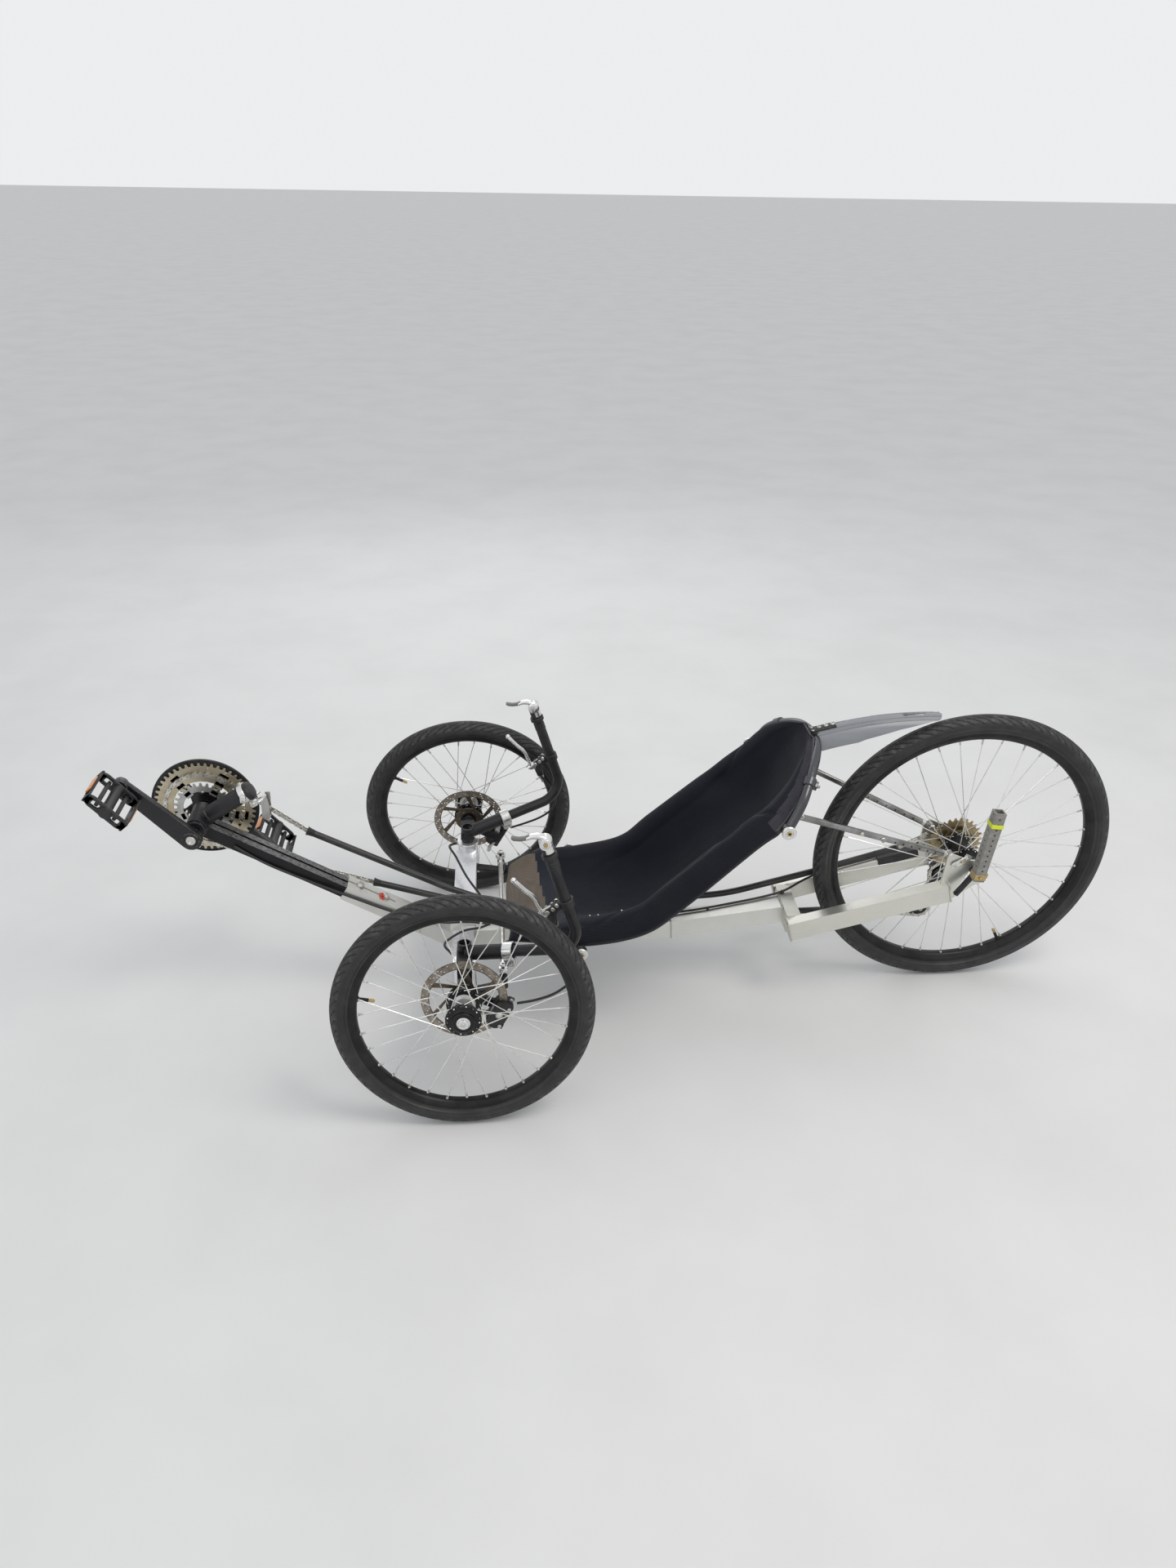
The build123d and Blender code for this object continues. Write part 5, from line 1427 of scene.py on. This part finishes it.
def seam_points():
    """Points of the sewn lines of the cover, each line given as places along and across it."""
    near = ((7.3, 6.2), (7.0, 5.0), (6.6, 4.3), (6.2, 4.0), (5.8, 4.1), (5.5, 4.5), (5.1, 4.4),
            (4.6, 4.0), (4.1, 3.9), (3.75, 4.2))
    wedge = ((3.75, 4.2), (3.55, 2.6), (3.4, 0.6), (3.3, -1.4), (3.25, -2.2))
    short = ((3.75, 4.2), (3.45, 4.9), (3.15, 5.6))
    far = ((7.6, -6.0), (7.0, -5.0), (6.4, -4.1), (6.0, -3.5), (5.6, -3.2), (5.1, -3.2),
           (4.5, -3.1), (3.9, -3.0), (3.5, -2.7), (3.25, -2.2))
    return [seat_point(*along(a, b, i / 12)) for line in (near, wedge, short, far)
            for a, b in zip(line, line[1:]) for i in range(12)]


def bell(x, width):
    return exp(-(x / width) ** 2)


def seat_mark(t, q):
    """Which of the cover's materials shows: 0 mesh, 1 front flap, 2 edge, 3 fold, 4 side."""
    fold = t - SEAT_FOLD - 0.05 * q
    if fold < -0.24 and abs(q) < 5.2:
        return 1
    if abs(fold) <= 0.24 and abs(q) < 5.4:
        return 3
    if t > 6.85 and q > 5.9 - 0.28 * (t - 6.85) or t > 10.75 or t > 8 and q < -6:
        return 2
    return 4 if abs(q) > 5.3 and t > 2.4 else 0


def seat_cover():
    """The cover's two faces, pushed in along its seams and dimples, with piping and studs."""
    seams = seam_points()
    tree = KDTree(len(seams))
    for i, p in enumerate(seams):
        tree.insert(p, i)
    tree.balance()
    # places along and across, depth and reach of the pulled points
    dimples = ((5.85, -3.3, 13, 30), (4.05, -2.75, 8, 26), (5.8, 3.4, 8, 26), (4.3, 3.0, 5, 26))
    pulled = [(seat_point(t, q), depth, reach) for t, q, depth, reach in dimples]
    rows, cols, last = 190, 112, len(SEAT_ROWS) - 1
    grid = [[seat_point(last * i / rows, -8 + 16 * j / cols) for j in range(cols + 1)]
            for i in range(rows + 1)]

    def normal(i, j):
        a = grid[min(i + 1, rows)][j] - grid[max(i - 1, 0)][j]
        b = grid[i][min(j + 1, cols)] - grid[i][max(j - 1, 0)]
        n = b.cross(a)
        return n.normalized() if n.length > 1e-6 else V(UP)

    draw = random.Random(11)
    waves = [(draw.uniform(0.5, 1.6), draw.uniform(0.4, 1.4), draw.uniform(0, 6)) for _ in range(5)]

    def lift(t, q, p):
        """How far the cover stands out at a point."""
        near = tree.find(p)[2]
        out = 0.5 * bell(near - 10, 6) - 2.2 * bell(near, 4.0)
        for place, depth, reach in pulled:
            out -= depth * bell((p - place).length, reach)
        out += 0.6 * sum(sin(a * t * 3 + b * q + c) for a, b, c in waves) / 2
        if abs(q) < 5.5:
            fold = t - SEAT_FOLD - 0.05 * q
            out += 4.2 * bell(fold, 0.13) - 2.2 * bell(fold + 0.3, 0.10)
        return out

    outer = [[p + normal(i, j) * lift(last * i / rows, -8 + 16 * j / cols, p)
              for j, p in enumerate(line)] for i, line in enumerate(grid)]
    inner = [[p - normal(i, j) * SEAT_T for j, p in enumerate(line)]
             for i, line in enumerate(outer)]
    wide, half = cols + 1, (rows + 1) * (cols + 1)
    faces, marks = [], []
    for i in range(rows):
        for j in range(cols):
            a = i * wide + j
            b, c, d = a + 1, a + wide + 1, a + wide
            faces += [(a, b, c, d), (a + half, d + half, c + half, b + half)]
            marks += [seat_mark(last * (i + 0.5) / rows, -8 + 16 * (j + 0.5) / cols), 0]
    rims = [(i * wide + j, i * wide + j + 1, way) for j in range(cols)
            for i, way in ((0, 1), (rows, -1))]
    rims += [(i * wide + j, (i + 1) * wide + j, way) for i in range(rows)
             for j, way in ((0, -1), (cols, 1))]
    faces += [(a, a + half, b + half, b)[::way] for a, b, way in rims]
    s = Shape().add([p for line in outer + inner for p in line], faces)
    s.marks = marks + [0] * len(rims)
    cover = piece("seat_mesh_cover", s, [M_CLOTH, M_FLAP, M_CLOTH_EDGE, M_FOLD, M_SIDE], "frame",
                  "seat_cover", sharp=75)
    trim, dots = Shape(), Shape()
    for side in (1, -1):
        trim.tube([seat_point(2.5 + 2.2 * i / 40, side * 7.72) + V(0, side * 0.8, -0.5)
                   for i in range(41)], 1.5, 8)
    rim = [seat_point(6.9 + 4.0 * i / 50, 7.0) for i in range(51)]
    rim += [seat_point(10.95, 7.0 - 14 * i / 12) for i in range(1, 12)]
    rim += [seat_point(10.9 - 4.0 * i / 50, -7.0) for i in range(51)]
    trim.tube(rim, 1.7, 8)
    binding = piece("seat_piping", trim, M_PIPING, "frame")
    for t, q in ((3.12, 2.75), (3.28, 2.75), (3.75, 4.2)):
        dots.ball(seat_point(t, q) + V(0, 0, 1.5), 2.0, 12, 0.7)
    studs = piece("seat_studs", dots, M_STEEL, "frame")


# The left half of the seat hoop's line, and the ends of the left strut and of the flag holder.
HOOP = ((-620, 178, 490), (-636, 170, 518), (-651, 157, 546), (-671, 118, 574), (-692, 66, 596),
        (-704, 0, 601))
STRUT_TOP, STRUT_FOOT = V(-640, 150, 505), V(-1005, 60, 347)
FLAG_FOOT, FLAG_TOP = V(-1050, 106, 316), V(-1068, 106, 476)


def seat_fittings():
    """Band, end caps and bolts on the seat's hoop and front strap, and the struts' end bolts."""
    s = Shape()
    half = [V(p) for p in HOOP]
    line = half[:-1] + [V(p.x, -p.y, p.z) for p in half[::-1]]
    s.tube(smooth_line([half[0] + V(2, 0, -6), *line, V(-618, -178, 484)], 9), 9.4, 22)
    for side in (1, -1):
        s.rod((-620, 172 * side, 490), (-620, 189 * side, 490), 12.6, 36, 1.0)
    piece("hoop_tube", s, M_HOOP, "frame", "seat_hoop")
    s = Shape()
    run = V(-21, -39, 27).normalized()
    mid = V(-665, 131, 566)
    s.pipe(mid - run * 9.5, mid + run * 9.5, 12.6, 9.3, 40, 1.4)
    s.box((8, 15, 13), aim(mid + V(-12, 2, -6), run), 1.4)
    s.mark = 1
    s.cap_screw(aim(mid + V(-16, 6, -6), (-0.6, 0.8, 0)), 3.4, 3.0)
    pair("hoop_band", s, [M_HOOP, M_STEEL], "frame")
    for name, x, y, z, r in (("rear", -620, 190, 490, 13.4), ("front", -228, 198, 228, 12.4)):
        s = Shape()
        s.lathe(((0, -3), (r, -3), (r + 0.6, -1.6), (r + 0.6, 1.0), (r - 0.6, 2.4), (r * 0.55, 3.0),
                 (r * 0.5, 2.2), (0, 2.2)), aim((x, y, z), LEFT), 44)
        s.mark = 1
        s.cap_screw(aim((x, y + 1.8, z), LEFT), 4.4, 2.6)
        pair("seat_cap_" + name, s, [M_PART, M_BRASS], "frame", sharp=28)
    s = Shape()
    run = (STRUT_FOOT - STRUT_TOP).normalized()
    s.lathe(((6.6, 0), (7.3, 0.6), (7.3, 7), (6.6, 7.6)), aim(STRUT_FOOT - run * 22, run), 28)
    s.nut(aim(STRUT_FOOT + V(0, -6, 0), RIGHT), 13, 6)
    s.nut(aim(STRUT_TOP + V(-10, -5.5, 2), RIGHT), 10, 4)
    s.cap_screw(aim(STRUT_TOP + V(-10, 5.5, 2), LEFT), 4.6, 4)
    for t in (188, 243):
        s.nut(aim(STRUT_FOOT - run * t + V(0, 5.6, 0), LEFT), 8, 3.4)
    pair("strut_bolts", s, M_STEEL, "frame")


def fender_fittings():
    """The bracket from the hoop's middle over the fender's front, its bolts and a clamp."""
    s = Shape()
    s.pipe((-704, -13, 601), (-704, 13, 601), 13.0, 9.3, 36, 1.2)
    s.strap(((-694, 0, 613.6), (-706, 0, 615.4), (-720, 0, 618.6), (-744, 0, 624.8)), 21, 4.2,
            corner=0.3)
    s.strap(((-712, 0, 611.5), (-722, 0, 612.8)), 17, 5, corner=0.3)
    s.mark = 1
    up = V(-0.2, 0, 0.98)
    for x, z in ((-711, 618.4), (-725, 621.8), (-738, 625.2)):
        s.cap_screw(aim((x, 0, z), up), 4.6, 3.8)
    for y in (-7.5, 7.5):
        s.cap_screw(aim((-698, y, 614.4), UP), 3.0, 2.6)
    piece("fender_clamp", s, [M_PLASTIC, M_STEEL], "frame", "fender_bracket")


def flag_tube():
    """Dark discs down the flag holder's faces as painted shade of its holes, its yellow band and
    its clamp's coppery band.
    """
    run = (FLAG_TOP - FLAG_FOOT).normalized()
    side = run.cross(V(LEFT)).normalized()
    s = Shape()
    # thin black discs stand for the holes: painted shade
    for out, first, r in ((V(LEFT), 26, 2.0), (V(RIGHT), 26, 2.0), (side, 32, 1.7),
                          (-side, 32, 1.7)):
        for i in range(11):
            c = FLAG_FOOT + run * (first + 12.2 * i) + out * 10.9
            s.lathe(((0, 0), (r, 0), (r, 0.3), (0, 0.3)), aim(c, out), 14)
    piece("flag_tube_hole_shade", s, M_PLASTIC, "frame")
    s = Shape()

    def square(size, hole, low, high):
        """A square sleeve round the holder between two heights."""
        place = aim(FLAG_FOOT + run * (low + high) / 2, run, LEFT)
        outline = [(x * size / 2, y * size / 2) for x, y in ((1, 1), (-1, 1), (-1, -1), (1, -1))]
        inner = [(x * hole / size, y * hole / size) for x, y in outline]
        s.plate(outline, high - low, place, (inner,), 0.5)

    square(24.4, 21.9, 127, 136)
    piece("flag_tube_band", s, M_BAND, "frame")
    s = Shape()
    square(24.2, 22.0, 4, 16)
    clip = FLAG_FOOT + run * 10
    s.box((5, 12, 10), aim(clip + side * 14, run, LEFT), 1)
    s.rod(clip + V(0, 12, 0), clip + V(0, 15.5, 0), 3.4, 6)
    piece("flag_tube_clip", s, M_BRASS, "frame")


def rear_hub_lever():
    """Quick-release nut, cam and curved lever at the left dropout."""
    s = Shape()
    cam = V(-1054, 83, 320)
    s.rod(cam + V(0, -4, 0), cam + V(0, 9, 0), 8.4, 28, 1.2)
    s.rod(cam + V(-9, 3, 3), cam + V(9, 3, -3), 5.0, 18)
    s.strap([cam + V(x, y, z) for x, y, z in ((-4, 6, 2), (8, 10, -8), (20, 13, -22),
                                              (32, 15, -35), (40, 15, -47))],
            (12, 10.5, 10.5, 12, 9), (7, 5.5, 4.6, 4.4, 3.0), (0.6, 0.2, 0.6), 0.45, 3)
    s.mark = 1
    s.cap_screw(aim(cam + V(0, 8.6, 0), LEFT), 4.2, 2.0)
    piece("hub_lever", s, [M_PAINT, M_BRASS], "frame", sharp=40)
    s = Shape()
    s.rod((-1054, -75, 320), (-1054, -86, 320), 8.8, 28, 1.2)
    s.nut(aim((-1054, -86, 320), RIGHT), 14, 4)
    piece("hub_nut", s, M_STEEL, "frame")


def stay_ends():
    """Slanted end caps of the stays with their weld edge, and the link on the left dropout."""
    run = (V(-1012, 0, 268) - V(-675, 0, 179)).normalized()
    up = run.cross(V(LEFT)) * -1
    for side, word in SIDES:
        s = Shape()
        end = V(-1012, 72 * side, 268)
        s.box((26.6, 43.4, 2.6), aim(end - run * 1.2, run, LEFT), 0.8)
        s.mark = 1
        weld(s, [end - run * 3.2 + V(0, a * 12.6, 0) + up * b * 21.2
                 for a, b in ((1, 1), (1, -1), (-1, -1), (-1, 1), (1, 1))], 1.5, 5)
        piece("stay_end_" + word, s, [M_STAY, M_WELD], "frame")
    s = Shape()
    place = aim((-1022, 79, 341), LEFT, (0.86, 0, -0.5))
    s.plate(capsule((-15, 0), (14, 0), 6.5, 6.5, 8), 2.6, place, (ring_points(2.6, 16),), 0.5)
    s.box((14, 2.2, 9), at(-1036, 77, 352) @ turn(-28, "Y"), 0.6)
    s.mark = 1
    for x in (-15, 14):
        s.cap_screw(place @ at(x, 0, 1.2), 4.0, 3.0)
    piece("dropout_link", s, [M_PART, M_STEEL], "frame")


def rear_mech():
    """Bolts and the cable's clamp on the rear derailleur."""
    s = Shape()
    top = V(-1036, CHAIN_Y, 236)
    for c in (top, V(-1008, CHAIN_Y, 142)):
        s.cap_screw(aim(c + V(0, -7.5, 0), RIGHT), 4.4, 2.6)
        s.cap_screw(aim(c + V(0, 7.5, 0), LEFT), 4.4, 2.0)
    s.cap_screw(aim(top + V(0, -26, 0), RIGHT), 6.5, 3)
    s.cap_screw(aim((-1068, -96, 292), RIGHT), 7.5, 3)
    s.rod(top + V(6, -20, 22), top + V(6, -25, 22), 4.2, 6)
    piece("rear_mech_bolts", s, M_STEEL, "frame")


# half the floor's side in metres, and the lamps: name, place, power, size and tint
FLOOR = 60.0
LAMPS = (("key", (-1.6, 1.2, 3.6), 42, 1.6, (1.0, 0.97, 0.92)),
         ("fill", (2.6, 2.6, 2.4), 10, 2.6, (0.95, 0.97, 1.0)),
         ("rim", (0.5, -3.0, 2.2), 12, 2.0, (1.0, 1.0, 1.0)))


def stage():
    """The floor, a plain sky that the camera sees as pale grey, and three lamps."""
    floor = bpy.data.meshes.new("floor")
    floor.from_pydata([(x * FLOOR, y * FLOOR, 0) for x, y in ((-1, -1), (1, -1), (1, 1), (-1, 1))],
                      [], [(0, 1, 2, 3)])
    n = Nodes("floor_paint")
    shade = n.mix(n.ramp(n.noise(3, 3), 0.4, 0.7), (0.86, 0.86, 0.85), (0.82, 0.82, 0.81))
    floor.materials.append(n.finish(shade, 0.85, 0.0))
    obj = link(bpy.data.objects.new("floor", floor))
    world = bpy.data.worlds.new("studio")
    bpy.context.scene.world = world
    world.use_nodes = True
    world.node_tree.nodes.clear()
    make, join = world.node_tree.nodes.new, world.node_tree.links.new
    out, both, ray = (make("ShaderNode" + kind)
                      for kind in ("OutputWorld", "MixShader", "LightPath"))
    for i, colour, strength in ((1, (0.95, 0.97, 1.0, 1), 0.62), (2, (0.84, 0.85, 0.86, 1), 1.0)):
        sky = make("ShaderNodeBackground")
        sky.inputs["Color"].default_value = colour
        sky.inputs["Strength"].default_value = strength
        join(sky.outputs[0], both.inputs[i])
    seen = ray.outputs["Is Camera Ray"]
    for kind in ("Is Glossy Ray", "Is Transmission Ray"):
        more = make("ShaderNodeMath")
        more.operation = "MAXIMUM"
        join(seen, more.inputs[0])
        join(ray.outputs[kind], more.inputs[1])
        seen = more.outputs[0]
    join(seen, both.inputs[0])
    join(both.outputs[0], out.inputs[0])
    for name, place, power, size, tint in LAMPS:
        data = bpy.data.lights.new(name, "AREA")
        data.energy, data.size, data.color = power, size, tint
        lamp = link(bpy.data.objects.new(name, data))
        lamp.location = place
        lamp.rotation_mode = "QUATERNION"
        lamp.rotation_quaternion = (V(0, 0, 0.25) - V(place)).to_track_quat("-Z", "Y")


def camera():
    """The photograph's view: place in metres, then heading, pitch and roll, and the lens."""
    place = V(-0.0745 + AXLE_X / 1000, 2.0261, 1.6108)
    heading, pitch, roll = radians(-94.998), radians(-28.582), radians(1.071)
    focal_pixels, long_side, sensor = 1410.9, 1920, 36.0
    ahead = V(cos(heading) * cos(pitch), sin(heading) * cos(pitch), sin(pitch))
    right = ahead.cross(V(UP)).normalized()
    up = right.cross(ahead)
    right, up = right * cos(roll) + up * sin(roll), up * cos(roll) - right * sin(roll)
    data = bpy.data.cameras.new("camera")
    data.sensor_width = sensor
    data.lens = focal_pixels / long_side * sensor
    cam = link(bpy.data.objects.new("camera", data))
    cam.matrix_world = Matrix.Translation(place) @ Matrix((right, up, -ahead)).transposed().to_4x4()
    bpy.context.scene.camera = cam
    bpy.context.scene.view_settings.view_transform = "Standard"


def dress_frame():
    """Gives the material to the nodes of the part that are shown as they are."""
    for material, names in (
            (M_FRAME, "main_frame"), (M_ARM, "cross_arm_left cross_arm_right"),
            (M_STAY, "rear_yoke chainstay_left chainstay_right"), (M_BOOM, "boom"),
            (M_PAINT, "knuckle_left knuckle_right rear_axle rear_derailleur"),
            (M_HOOP, "seat_hoop"), (M_BAR, "seat_strap"), (M_CLEAR, "flag_holder"),
            (M_STRUT, "seat_strut_left seat_strut_right"), (M_FENDER, "rear_fender"),
            (M_PLASTIC, "fender_bracket stay_guard"),
            (M_CABLE, "front_shift_cable rear_shift_cable brake_cable_left brake_cable_right")):
        for node in names.split():
            dress(node, material)


for build in (front_wheels, rear_wheel, cassette, chain, chain_tubes, chainrings, crank_arms,
              pedals, crank_shell, front_derailleur, handlebars, brake_levers, shifters, calliper,
              tie_rod, knuckle_details, seat_cover, seat_fittings, fender_fittings, flag_tube,
              rear_hub_lever, stay_ends, rear_mech, welds, nose_bolts, cable_fittings, bar_cables,
              dress_frame, stage, camera):
    build()
